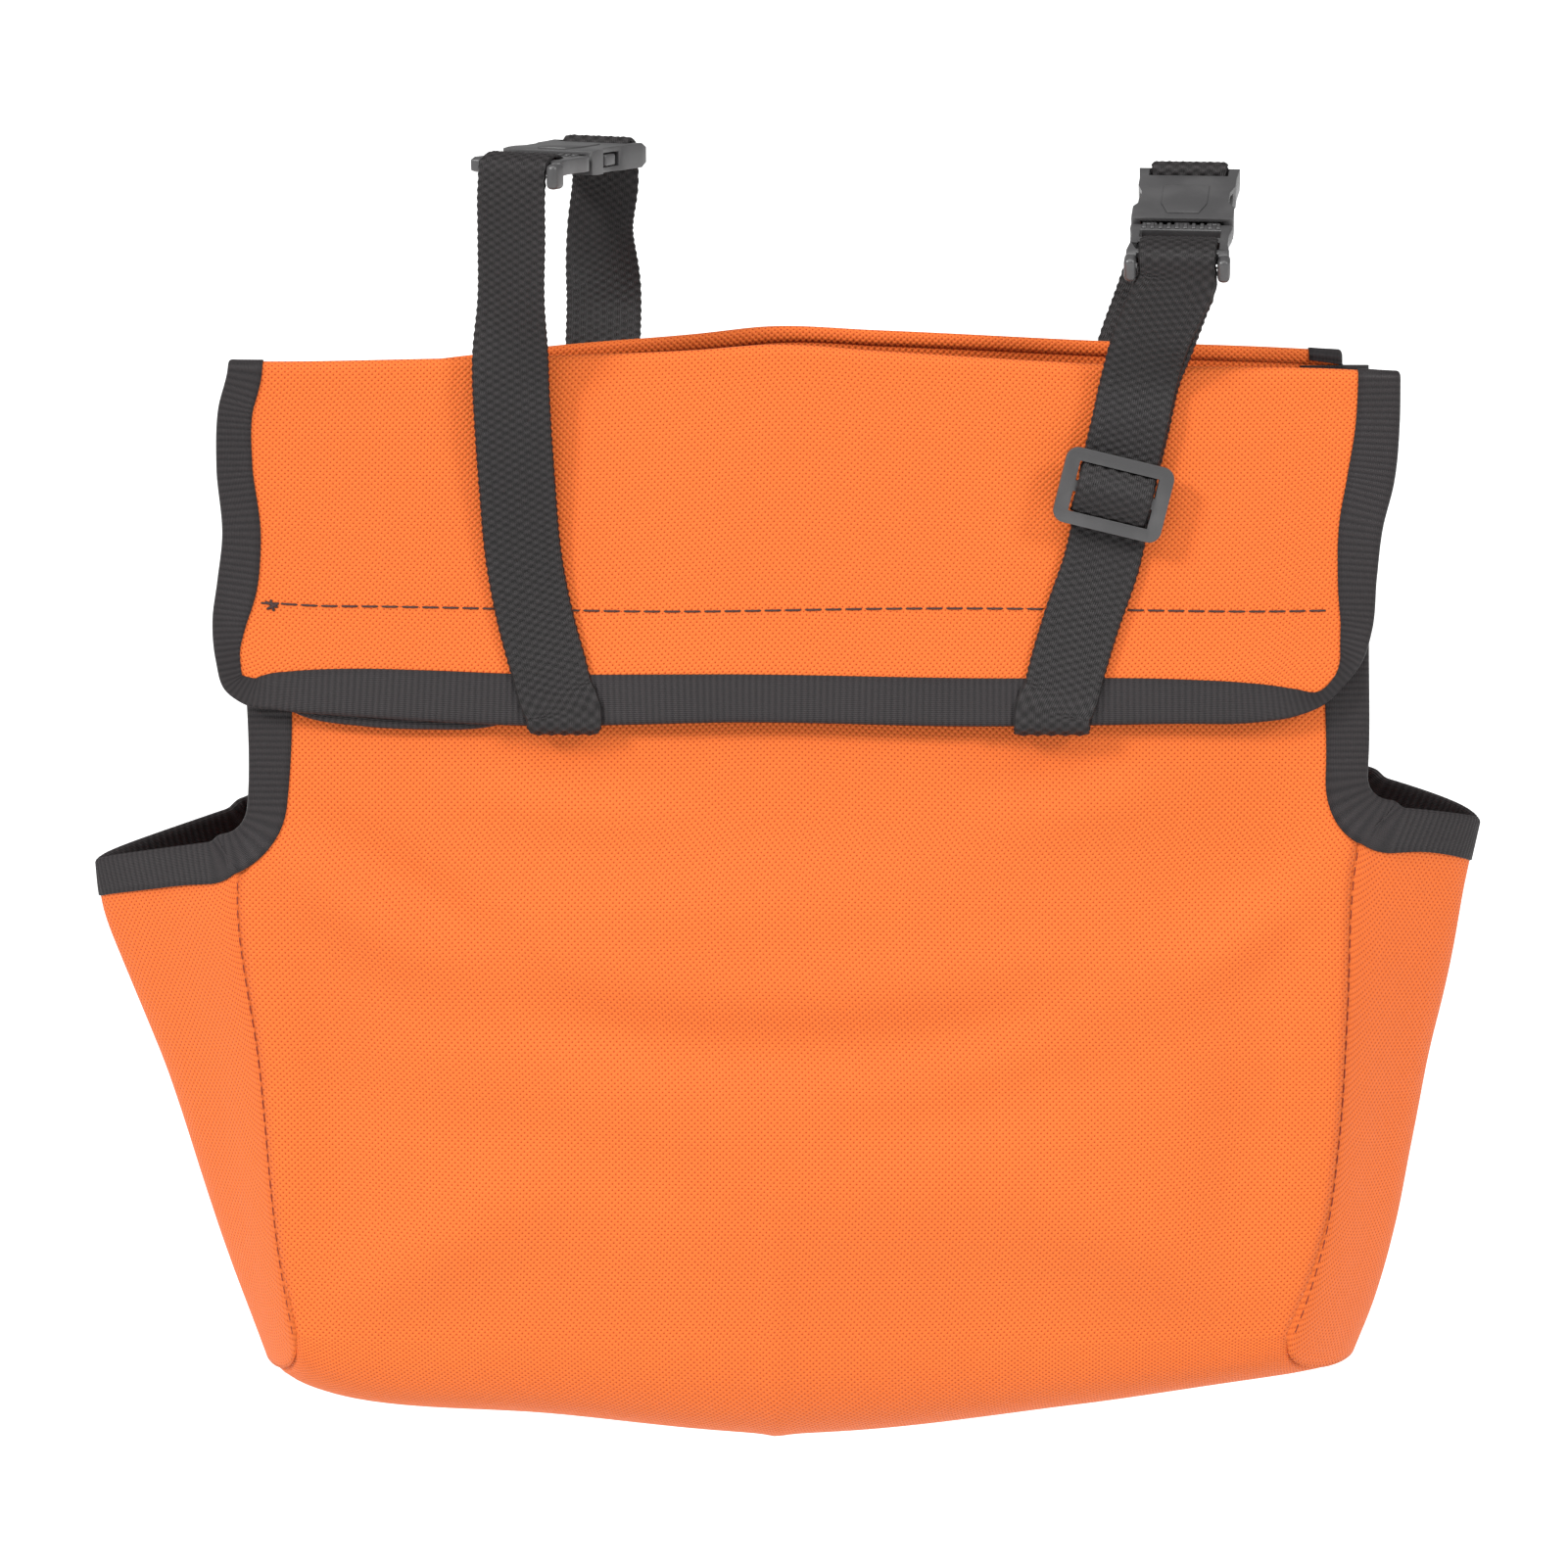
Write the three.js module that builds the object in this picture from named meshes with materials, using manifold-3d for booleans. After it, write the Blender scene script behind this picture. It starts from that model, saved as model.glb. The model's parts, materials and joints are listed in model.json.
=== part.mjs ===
// Fruit picking bag: a cloth sack with turned-over cuffs, bound edges and two webbing loops that
// each close with a side-release buckle. Millimetres, +Z up, the front faces -Y, +X to the right.
// The origin is on the rail that the two loops hang from.
import * as THREE from "three";
import { mergeVertices } from "three/addons/utils/BufferGeometryUtils.js";
import Module from "manifold-3d";

const wasm = await Module();
wasm.setup();

// ---- Driving dimensions -------------------------------------------------------------------

const CLOTH = 1.2; // thickness of a cloth wall
const TAPE = 0.7; // thickness of one leaf of binding tape
const TAPE_WIDTH = 12.5; // what shows of a 25 mm tape folded over an edge
const GAP = 0.3; // clearance between pieces that touch
const SEAM_GAP = 1.4; // from the outer edge of a tape to the cloth inside it
const WEB_WIDTH = 25; // strap webbing
const WEB = 1.5; // thickness of the webbing

const MOUTH_Z = -57; // top fold of the cuffs
const STITCH_Z = -141; // row of stitching that closes the cuff sleeve
const HEM_Z = -177; // lower edge of the cuff
const NOTCH_Z = -211; // where the side gussets start
const CORNER_Z = -384; // lower corners of the gussets
const SAG_MIDDLE = 36; // how far the bottom hangs below the corners
const SAG_SIDE = 20; // the same at the gussets

// Half width, half depth at the side edges and half depth in the middle, at each height.
const LEVELS = [
  { z: MOUTH_Z, width: 184, edge: 17, middle: 15 },
  { z: STITCH_Z, width: 184, edge: 24, middle: 24 },
  { z: NOTCH_Z, width: 184, edge: 30, middle: 35 },
  { z: -300, width: 180, edge: 41, middle: 54 },
  { z: CORNER_Z, width: 167, edge: 48, middle: 60 },
];
const RIM_BULGE = 49; // how far a gusset stands out past the side edge, at its rim
const MID_BULGE = 37; // the same halfway down
const BASE_BULGE = 22; // the same at the bottom
const BULGE_LEVELS = [
  { z: NOTCH_Z, bulge: RIM_BULGE },
  { z: -300, bulge: MID_BULGE },
  { z: CORNER_Z, bulge: BASE_BULGE },
];
const RIM_DROP = 14; // the gusset's tip is this much lower than its ends
const ARCH = 5; // the mouth is this much higher in the middle than at the sides

const CUFF_OVERHANG = 5; // the cuff is this much wider than the neck on each side
const CUFF_OUT = 2.4; // from the outer face of the neck to the inner face of the cuff
const HEM_FLARE = 1.8; // the hem's lower edge stands this much further out
const STRAP_OUT = 5.75; // from the face of the neck to the middle of the strap
const STRAP_MOUTH_OUT = 7.4; // the same where the strap leaves the cuff at the mouth
const STRAP_HEM_OUT = 8.1; // the same where the strap passes over the hem binding
const STRAP_BACK_OUT = 1.35; // the same for the end that is turned under the hem
const HINGE_GAP = 1.2; // room that the hem leaves at the stitching
const STRAP_HINGE_GAP = 5.5; // room that the strap leaves there

const FRONT = -1;
const BACK = 1;
const LEFT = -1;
const RIGHT = 1;

// ---- Colours ------------------------------------------------------------------------------

const finish = (color, roughness, metalness = 0) =>
  new THREE.MeshStandardMaterial({ color, roughness, metalness });
const orangeCloth = finish(0xf97d3c, 0.75);
const blackTape = finish(0x3b3637, 0.9);
const blackWebbing = finish(0x353132, 0.85);
const greyPlastic = finish(0x4a4848, 0.45);

// ---- Helpers ------------------------------------------------------------------------------

const bag = new THREE.Group();

// Six times the signed volume that a triangle list encloses.
function signedVolume(geometry) {
  const p = geometry.getAttribute("position");
  const [a, b, c] = [0, 1, 2].map(() => new THREE.Vector3());
  let volume = 0;
  for (let i = 0; i < p.count; i += 3) {
    a.fromBufferAttribute(p, i);
    b.fromBufferAttribute(p, i + 1);
    c.fromBufferAttribute(p, i + 2);
    volume += a.dot(b.cross(c));
  }
  return volume;
}

// The same triangles, wound so that they face out.
function facingOut(geometry) {
  const loose = geometry.index ? geometry.toNonIndexed() : geometry;
  if (signedVolume(loose) > 0) return loose;
  const p = loose.getAttribute("position");
  const [b, c] = [new THREE.Vector3(), new THREE.Vector3()];
  for (let i = 0; i < p.count; i += 3) {
    b.fromBufferAttribute(p, i + 1);
    c.fromBufferAttribute(p, i + 2);
    p.setXYZ(i + 1, c.x, c.y, c.z);
    p.setXYZ(i + 2, b.x, b.y, b.z);
  }
  return loose;
}

// Moves each vertex of a plain geometry to where map(x, y, z) says.
function bend(geometry, map) {
  const p = geometry.getAttribute("position");
  for (let i = 0; i < p.count; i++) {
    const to = map(p.getX(i), p.getY(i), p.getZ(i));
    p.setXYZ(i, to.x, to.y, to.z);
  }
  geometry.deleteAttribute("normal");
  geometry.deleteAttribute("uv");
  return facingOut(geometry);
}

function place(name, geometry, material) {
  geometry.computeVertexNormals();
  const mesh = new THREE.Mesh(geometry, material);
  mesh.name = name;
  bag.add(mesh);
  return mesh;
}

// Straight-line value of one field of a list of levels, at height z.
function atHeight(levels, z, field) {
  const last = levels.length - 1;
  let i = 0;
  while (i < last - 1 && z < levels[i + 1].z) i++;
  const [upper, lower] = [levels[i], levels[i + 1]];
  const share = THREE.MathUtils.clamp((upper.z - z) / (upper.z - lower.z), 0, 1);
  return THREE.MathUtils.lerp(upper[field], lower[field], share);
}

const halfWidth = (z) => atHeight(LEVELS, z, "width");
const edgeDepth = (z) => atHeight(LEVELS, z, "edge");
const middleDepth = (z) => atHeight(LEVELS, z, "middle");
const bulgeAt = (z) => atHeight(BULGE_LEVELS, z, "bulge");

// A point on the front or back wall, out from its outer face by a distance.
function wallPoint(side, x, z, out) {
  const share = x / halfWidth(z);
  const depth = THREE.MathUtils.lerp(middleDepth(z), edgeDepth(z), share * share);
  return new THREE.Vector3(x, side * (depth + out), z);
}

// Height of the mouth's fold at a distance from the middle.
const mouthHeight = (x) => MOUTH_Z + ARCH * (1 - (x / halfWidth(MOUTH_Z)) ** 2);

// A front or back layer: place(u, v) gives { x, z, out }, with out measured to its outer face.
function layer(side, across, along, placeAt) {
  const box = new THREE.BoxGeometry(1, 1, 1, across, along, 1);
  return bend(box, (x, y, z) => {
    const at = placeAt(x + 0.5, y + 0.5);
    return wallPoint(side, at.x, at.z, at.out - CLOTH * (0.5 - z));
  });
}

// ---- Cloth --------------------------------------------------------------------------------

const WALL_ACROSS = 10;
const WALL_ALONG = 12;

function bodyWall(side) {
  return layer(side, WALL_ACROSS, WALL_ALONG, (u, v) => {
    const mouthX = (2 * u - 1) * (halfWidth(MOUTH_Z) - SEAM_GAP);
    const z = THREE.MathUtils.lerp(mouthHeight(mouthX), CORNER_Z + GAP, v);
    return { x: (2 * u - 1) * (halfWidth(z) - SEAM_GAP), z, out: 0 };
  });
}

// The bottom hangs in an ellipse from the lower edge of the front to that of the back; inset is
// the distance in from its outer face.
function bottomPoint(share, angle, inset) {
  const u = Math.sin(angle);
  const reach = halfWidth(CORNER_Z) - SEAM_GAP + BASE_BULGE * (1 - u * u);
  const depth = THREE.MathUtils.lerp(middleDepth(CORNER_Z), edgeDepth(CORNER_Z), share * share);
  const sag = THREE.MathUtils.lerp(SAG_MIDDLE, SAG_SIDE, share * share);
  const z = CORNER_Z - GAP - (sag - inset) * Math.cos(angle);
  return new THREE.Vector3(share * reach, (depth - inset) * u, z);
}

const BOTTOM_ALONG = 10;

function bottomWall() {
  const box = new THREE.BoxGeometry(1, 1, 1, WALL_ACROSS, BOTTOM_ALONG, 1);
  return bend(box, (x, y, z) => {
    const inset = CLOTH * (0.5 - z);
    return bottomPoint(2 * x, y * Math.PI, inset);
  });
}

const GUSSET_INSET = 2.5; // how far a gusset stays from the corners of the front and back

// A point on a gusset, out from its outer face by a distance: u runs from -1 at the front to 1
// at the back.
function gussetPoint(hand, u, z, out) {
  const depth = edgeDepth(z) - GUSSET_INSET;
  const bulge = bulgeAt(z);
  const normal = new THREE.Vector2(depth, 2 * bulge * u).normalize();
  const x = halfWidth(z) + bulge * (1 - u * u) + out * normal.x;
  return new THREE.Vector3(hand * x, u * depth + out * normal.y, z);
}

const rimHeight = (u) => NOTCH_Z - RIM_DROP * (1 - Math.abs(u));
const gussetFoot = (u) => CORNER_Z + 2 * CLOTH - SAG_SIDE * (1 - u * u);
const GUSSET_ACROSS = 16;
const GUSSET_ALONG = 6;

function gussetWall(hand) {
  const box = new THREE.BoxGeometry(1, 1, 1, GUSSET_ACROSS, GUSSET_ALONG, 1);
  return bend(box, (x, y, z) => {
    const u = 2 * x;
    const height = THREE.MathUtils.lerp(rimHeight(u) - SEAM_GAP, gussetFoot(u), y + 0.5);
    return gussetPoint(hand, u, height, -CLOTH * (0.5 - z));
  });
}

const CUFF_ALONG = 3;
const HEM_ALONG = 2;
const FOLD_GAP = 2; // the cuff starts this far below the fold

function cuffWall(side) {
  return layer(side, WALL_ACROSS, CUFF_ALONG, (u, v) => {
    const x = (2 * u - 1) * (halfWidth(MOUTH_Z) + CUFF_OVERHANG - SEAM_GAP);
    const z = THREE.MathUtils.lerp(mouthHeight(x) - FOLD_GAP, STITCH_Z + HINGE_GAP, v);
    return { x, z, out: CUFF_OUT + CLOTH };
  });
}

// Distance from the face of the neck to the inner face of the hem, which hangs a little proud.
const hemOut = (z) => CUFF_OUT + (HEM_FLARE * (STITCH_Z - z)) / (STITCH_Z - HEM_Z);

function hemWall(side) {
  return layer(side, WALL_ACROSS, HEM_ALONG, (u, v) => {
    const x = (2 * u - 1) * (halfWidth(HEM_Z) + CUFF_OVERHANG - SEAM_GAP);
    const z = THREE.MathUtils.lerp(STITCH_Z - HINGE_GAP, HEM_Z + SEAM_GAP, v);
    return { x, z, out: hemOut(z) + CLOTH };
  });
}

// ---- Binding tape -------------------------------------------------------------------------

// The tape's section, a U that holds the cloth's edge: a runs in from the edge, b runs out from
// the outer face of the cloth.
function tapeSection() {
  const outer = GAP + TAPE;
  const inner = -CLOTH - GAP - TAPE;
  return new THREE.Shape([
    new THREE.Vector2(0, outer),
    new THREE.Vector2(TAPE_WIDTH, outer),
    new THREE.Vector2(TAPE_WIDTH, outer - TAPE),
    new THREE.Vector2(TAPE, outer - TAPE),
    new THREE.Vector2(TAPE, inner + TAPE),
    new THREE.Vector2(TAPE_WIDTH, inner + TAPE),
    new THREE.Vector2(TAPE_WIDTH, inner),
    new THREE.Vector2(0, inner),
  ]);
}

// A tape whose section is carried along by map(a, b, t), with t from 0 to 1.
function tape(map, steps) {
  const options = { depth: 1, steps, bevelEnabled: false };
  return bend(new THREE.ExtrudeGeometry(tapeSection(), options), map);
}

const SIDE_STEPS = 6;

// Down one side of the neck, from the fold to the notch.
function neckTape(side, hand) {
  const [top, foot] = [MOUTH_Z - GAP, NOTCH_Z + TAPE];
  return tape((a, b, t) => {
    const z = THREE.MathUtils.lerp(top, foot, t);
    return wallPoint(side, hand * (halfWidth(z) - a), z, b);
  }, SIDE_STEPS);
}

// Down one side of the cuff, from the fold to the stitching.
function cuffTape(side, hand) {
  const [top, foot] = [MOUTH_Z - FOLD_GAP, STITCH_Z + HINGE_GAP];
  return tape((a, b, t) => {
    const z = THREE.MathUtils.lerp(top, foot, t);
    return wallPoint(side, hand * (halfWidth(z) + CUFF_OVERHANG - a), z, CUFF_OUT + CLOTH + b);
  }, SIDE_STEPS);
}

const HEM_SIDE_SHARE = 0.125; // the part of the hem tape's steps on each short side
const HEM_STEPS = 16;

// Round three sides of the hem, mitred at the corners.
function hemTape(side) {
  return tape((a, b, t) => {
    const reach = halfWidth(HEM_Z) + CUFF_OVERHANG - a;
    const foot = HEM_Z + a;
    const top = STITCH_Z - HINGE_GAP;
    const down = THREE.MathUtils.clamp(t / HEM_SIDE_SHARE, 0, 1);
    const up = THREE.MathUtils.clamp((1 - t) / HEM_SIDE_SHARE, 0, 1);
    const z = THREE.MathUtils.lerp(top, foot, Math.min(down, up));
    const along = THREE.MathUtils.clamp((t - HEM_SIDE_SHARE) / (1 - 2 * HEM_SIDE_SHARE), 0, 1);
    return wallPoint(side, (2 * along - 1) * reach, z, hemOut(z) + CLOTH + b);
  }, HEM_STEPS);
}

const RIM_STEPS = 16;
const RIM_SHARE = 0.94; // the rim tape stops short of the front and back walls

function rimTape(hand) {
  return tape((a, b, t) => {
    const u = RIM_SHARE * (2 * t - 1);
    return gussetPoint(hand, u, rimHeight(u) - a, b);
  }, RIM_STEPS);
}

// ---- Webbing ------------------------------------------------------------------------------

const sideways = () => new THREE.Vector3(1, 0, 0);

// Flat webbing along a smooth path; its width runs square to the path and as near to the
// direction wideAt(t) as it can.
function webbing(points, steps, wideAt = sideways) {
  const path = new THREE.CatmullRomCurve3(points, false, "centripetal");
  const box = new THREE.BoxGeometry(WEB_WIDTH, WEB, 1, 1, 1, steps);
  return bend(box, (x, y, z) => {
    const t = z + 0.5;
    const tangent = path.getTangent(t);
    const wide = wideAt(t);
    const thick = new THREE.Vector3().crossVectors(tangent, wide).normalize();
    const across = new THREE.Vector3().crossVectors(thick, tangent).normalize();
    return path.getPoint(t).addScaledVector(across, x).addScaledVector(thick, y);
  });
}

const STRAP_END_STEPS = 14;
const TURN_UNDER = 14; // length of strap turned up behind the hem
const TURN_DROP = 3.2; // the turn hangs this far below the hem
const TURN_LIFT = 1.5; // height above the hem's edge where the turn starts

// The end of a strap on the hem: down over the binding, round its lower edge and up behind it.
function strapEnd(side, topX, footX) {
  const top = STITCH_Z - STRAP_HINGE_GAP;
  const middle = (STRAP_HEM_OUT + STRAP_BACK_OUT) / 2;
  return webbing(
    [
      wallPoint(side, topX, top, STRAP_OUT),
      wallPoint(side, footX, HEM_Z + TAPE_WIDTH, STRAP_HEM_OUT - TAPE),
      wallPoint(side, footX, HEM_Z + TURN_LIFT, STRAP_HEM_OUT),
      wallPoint(side, footX, HEM_Z - TURN_DROP, middle),
      wallPoint(side, footX, HEM_Z + TURN_LIFT, STRAP_BACK_OUT),
      wallPoint(side, footX, HEM_Z + TURN_UNDER, STRAP_BACK_OUT),
    ],
    STRAP_END_STEPS,
  );
}

// ---- Side-release buckle ------------------------------------------------------------------

// In its own frame the buckle lies flat: the socket pulls off along +X, its width runs along Y
// and its underside is at Z = 0.
const BUCKLE_WIDTH = 33;
const BUCKLE_HEIGHT = 8;
const PLUG_END = -29; // outer end of the plug's frame
const PLUG_FRONT = -9; // shoulder of the plug, where it meets the socket
const SOCKET_FRONT = -7.5; // mouth of the socket
const SOCKET_END = 30; // outer end of the socket
const SLOT_WIDTH = 26; // slots for 25 mm webbing
const BAR = 3; // width of a webbing bar
const SLOT_LENGTH = 5;
const FRAME_LOW = 1.5; // the plug's frame is thinner than the socket
const FRAME_HIGH = 6.5;
const CAVITY_END = 19;
const CAVITY_WIDTH = 27;
const CAVITY_LOW = 1.5;
const CAVITY_HIGH = 6.5;
const WINDOW_START = 1;
const WINDOW_END = 13;
const TONGUE_END = 16;
const TONGUE_WIDTH = 5;
const ARM_LOW = 2;
const ARM_HIGH = 6;
const ARM_INSIDE = 8; // from the buckle's middle line to the inner face of an arm
const ARM_OUTSIDE = 12;
const PAD_OUTSIDE = 15.5;
const PAD_GAP = 2; // between the pad and each end of its window
const ARM_START = PLUG_FRONT + 0.5;
const ARM_TIP = 12.5;
const ROUND = 3; // corner radius seen from above

function roundedShape(x0, x1, width, radius) {
  const h = width / 2;
  const shape = new THREE.Shape();
  shape.moveTo(x0 + radius, -h);
  shape.lineTo(x1 - radius, -h);
  shape.absarc(x1 - radius, -h + radius, radius, -Math.PI / 2, 0);
  shape.lineTo(x1, h - radius);
  shape.absarc(x1 - radius, h - radius, radius, 0, Math.PI / 2);
  shape.lineTo(x0 + radius, h);
  shape.absarc(x0 + radius, h - radius, radius, Math.PI / 2, Math.PI);
  shape.lineTo(x0, -h + radius);
  shape.absarc(x0 + radius, -h + radius, radius, Math.PI, 1.5 * Math.PI);
  return shape;
}

function slab(shape, low, high) {
  const options = { depth: high - low, bevelEnabled: false, curveSegments: 4 };
  return new THREE.ExtrudeGeometry(shape, options).translate(0, 0, low);
}

function block(x0, x1, y0, y1, z0, z1) {
  const box = new THREE.BoxGeometry(x1 - x0, y1 - y0, z1 - z0);
  return box.translate((x0 + x1) / 2, (y0 + y1) / 2, (z0 + z1) / 2);
}

function solid(geometry) {
  const bare = geometry.clone();
  bare.deleteAttribute("normal");
  bare.deleteAttribute("uv");
  const merged = mergeVertices(bare, 1e-4);
  const vertProperties = merged.getAttribute("position").array;
  const triVerts = new Uint32Array(merged.index.array);
  return new wasm.Manifold(new wasm.Mesh({ numProp: 3, vertProperties, triVerts }));
}

function cut(body, ...tools) {
  return tools.reduce((left, tool) => left.subtract(solid(tool)), body);
}

function geometryOf(body) {
  const mesh = body.getMesh();
  const geometry = new THREE.BufferGeometry();
  geometry.setAttribute("position", new THREE.BufferAttribute(mesh.vertProperties, 3));
  geometry.setIndex(new THREE.BufferAttribute(mesh.triVerts, 1));
  return geometry.toNonIndexed();
}

const slotAt = (x0, x1) =>
  block(x0, x1, -SLOT_WIDTH / 2, SLOT_WIDTH / 2, -1, BUCKLE_HEIGHT + 1);

// The plug: a ladder frame with two slots for the webbing and a middle tongue.
function plugGeometry() {
  const frame = solid(
    slab(roundedShape(PLUG_END, PLUG_FRONT, BUCKLE_WIDTH, ROUND), FRAME_LOW, FRAME_HIGH),
  );
  const first = PLUG_END + BAR;
  const second = first + SLOT_LENGTH + BAR;
  const tongue = solid(
    block(PLUG_FRONT - 1, TONGUE_END, -TONGUE_WIDTH / 2, TONGUE_WIDTH / 2, ARM_LOW, ARM_HIGH),
  );
  const slotted = cut(frame, slotAt(first, first + SLOT_LENGTH), slotAt(second, second + SLOT_LENGTH));
  return geometryOf(slotted.add(tongue));
}

// The socket: a flat box open towards the plug, with a window in each side and a webbing slot.
function socketGeometry() {
  const shell = solid(
    slab(roundedShape(SOCKET_FRONT, SOCKET_END, BUCKLE_WIDTH, ROUND), 0, BUCKLE_HEIGHT),
  );
  const half = CAVITY_WIDTH / 2;
  const cavity = block(SOCKET_FRONT - 1, CAVITY_END, -half, half, CAVITY_LOW, CAVITY_HIGH);
  const windows = block(
    WINDOW_START,
    WINDOW_END,
    -BUCKLE_WIDTH,
    BUCKLE_WIDTH,
    CAVITY_LOW,
    CAVITY_HIGH,
  );
  const slot = slotAt(SOCKET_END - BAR - SLOT_LENGTH, SOCKET_END - BAR);
  return geometryOf(cut(shell, cavity, windows, slot));
}

// A spring arm of the plug, with the pad that catches in the socket's window.
function armGeometry(hand) {
  const outline = new THREE.Shape([
    new THREE.Vector2(ARM_START, hand * ARM_INSIDE),
    new THREE.Vector2(ARM_TIP, hand * ARM_INSIDE),
    new THREE.Vector2(ARM_TIP, hand * ARM_OUTSIDE),
    new THREE.Vector2(WINDOW_END - PAD_GAP, hand * PAD_OUTSIDE),
    new THREE.Vector2(WINDOW_START + PAD_GAP, hand * PAD_OUTSIDE),
    new THREE.Vector2(WINDOW_START + PAD_GAP, hand * ARM_OUTSIDE),
    new THREE.Vector2(ARM_START, hand * ARM_OUTSIDE),
  ]);
  return facingOut(slab(outline, ARM_LOW, ARM_HIGH));
}

// The buckle's own axes in the bag's frame.
function buckleFrame(origin, yaw, pitch) {
  const along = new THREE.Vector3(
    Math.sin(yaw) * Math.cos(pitch),
    Math.cos(yaw) * Math.cos(pitch),
    Math.sin(pitch),
  );
  const across = new THREE.Vector3(-Math.cos(yaw), Math.sin(yaw), 0);
  const up = new THREE.Vector3().crossVectors(along, across);
  return new THREE.Matrix4().makeBasis(along, across, up).setPosition(origin);
}

function buckle(prefix, frame) {
  const parts = {
    buckle_plug: plugGeometry(),
    buckle_socket: socketGeometry(),
    buckle_arm_a: armGeometry(LEFT),
    buckle_arm_b: armGeometry(RIGHT),
  };
  for (const [name, geometry] of Object.entries(parts))
    place(`${prefix}_${name}`, geometry.applyMatrix4(frame), greyPlastic);
}

// ---- Slider -------------------------------------------------------------------------------

const SLIDER_WIDTH = 35;
const SLIDER_LENGTH = 25;
const SLIDER_THICK = 2.6;
const SLIDER_BAR = 4;
const SLIDER_WINDOW = 6.5;

function sliderGeometry() {
  const half = SLIDER_LENGTH / 2;
  const plate = solid(slab(roundedShape(-half, half, SLIDER_WIDTH, ROUND), 0, SLIDER_THICK));
  const windowAt = (x) =>
    block(x, x + SLIDER_WINDOW, -SLOT_WIDTH / 2, SLOT_WIDTH / 2, -1, SLIDER_THICK + 1);
  return geometryOf(cut(plate, windowAt(-half + SLIDER_BAR), windowAt(half - SLIDER_BAR - SLIDER_WINDOW)));
}

// ---- Where the straps run -----------------------------------------------------------------

const v = (x, y, z) => new THREE.Vector3(x, y, z);
const degrees = THREE.MathUtils.degToRad;

const LEFT_FOOT_X = -74; // middle of the left strap at the hem
const LEFT_STITCH_X = -80; // at the stitching
const LEFT_MOUTH_X = -89; // at the mouth
const LEFT_BACK_X = -63; // the back half, at the mouth
const RIGHT_FOOT_X = 87;
const RIGHT_STITCH_X = 95;
const RIGHT_MOUTH_X = 114;
const RIGHT_BACK_X = 118;
const LEFT_YAW = degrees(26); // the left buckle lies across the rail, turned from straight back
const RIGHT_YAW = degrees(9);
const RIGHT_PITCH = degrees(22); // the right buckle climbs towards the back
const LEFT_BUCKLE = v(-75, 0, 0); // underside of the left buckle, resting on the rail
const RIGHT_BUCKLE = v(129, -4, -18);
const STRAP_STEPS = 14;
const LEFT_END_GAP = 2; // between a strap and the end of the left buckle
const RIGHT_END_GAP = 3.5; // the same on the right, where the buckle is tilted
const SPLIT_Z = -36; // where the back half of a loop is joined to its top

const leftFrame = buckleFrame(LEFT_BUCKLE, LEFT_YAW, 0);
const rightFrame = buckleFrame(RIGHT_BUCKLE, RIGHT_YAW, RIGHT_PITCH);
const onBuckle = (frame, x, z) => v(x, 0, z).applyMatrix4(frame);
const buckleMiddle = (FRAME_LOW + FRAME_HIGH) / 2;
const leftWide = v(Math.cos(LEFT_YAW), -Math.sin(LEFT_YAW), 0);
const rightWide = v(Math.cos(RIGHT_YAW), -Math.sin(RIGHT_YAW), 0);
const strapStart = STITCH_Z + STRAP_HINGE_GAP;

const TWIST_FROM = 0.7; // the front half turns to face its buckle after this share of its length

// The direction of the webbing's width, turning from sideways at one share to wide at the end.
const turning = (wide, from) => (t) =>
  sideways().lerp(wide, THREE.MathUtils.smoothstep(t, from, 1));

// The part of a strap that lies on the cuff.
function onCuff(side, stitchX, mouthX) {
  const shares = [0, 0.5, 1];
  return shares.map((share) => {
    const x = THREE.MathUtils.lerp(stitchX, mouthX, share);
    const z = THREE.MathUtils.lerp(strapStart, MOUTH_Z, share);
    return wallPoint(side, x, z, THREE.MathUtils.lerp(STRAP_OUT, STRAP_MOUTH_OUT, share));
  });
}

// The front half of a loop, from the stitching up over the cuff to the plug.
function frontStrap(frame, stitchX, mouthX, endGap, kneeDrop, wide) {
  const end = onBuckle(frame, PLUG_END - endGap, buckleMiddle);
  const knee = end.clone().add(v(0, -1, -kneeDrop));
  const points = [...onCuff(FRONT, stitchX, mouthX), knee, end];
  return webbing(points, STRAP_STEPS, turning(wide, TWIST_FROM));
}

// The back half, from the stitching on the back cuff up to the joint with the loop's top.
function backStrap(stitchX, mouthX, topPoint) {
  return webbing([...onCuff(BACK, stitchX, mouthX), topPoint], STRAP_STEPS);
}

// The top of a loop: it leaves the socket, bends down behind the rail and meets the back half.
function loopTop(frame, endGap, kneeDrop, topPoint, wide) {
  const start = onBuckle(frame, SOCKET_END + endGap, buckleMiddle);
  const knee = start.clone().add(v(0, 1, -kneeDrop));
  const wideAt = turning(wide, 0);
  return webbing([start, knee, topPoint], STRAP_STEPS, (t) => wideAt(1 - t));
}

// ---- Assembly -----------------------------------------------------------------------------

const sides = [
  ["front", FRONT],
  ["back", BACK],
];
const hands = [
  ["left", LEFT],
  ["right", RIGHT],
];

for (const [sideName, side] of sides) {
  place(`${sideName}_panel`, bodyWall(side), orangeCloth);
  place(`${sideName}_cuff`, cuffWall(side), orangeCloth);
  place(`${sideName}_hem`, hemWall(side), orangeCloth);
  place(`${sideName}_hem_binding`, hemTape(side), blackTape);
  for (const [handName, hand] of hands) {
    place(`${sideName}_neck_binding_${handName}`, neckTape(side, hand), blackTape);
    place(`${sideName}_cuff_binding_${handName}`, cuffTape(side, hand), blackTape);
  }
}
place("bottom_panel", bottomWall(), orangeCloth);
for (const [handName, hand] of hands) {
  place(`${handName}_gusset`, gussetWall(hand), orangeCloth);
  place(`${handName}_rim_binding`, rimTape(hand), blackTape);
}

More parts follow.
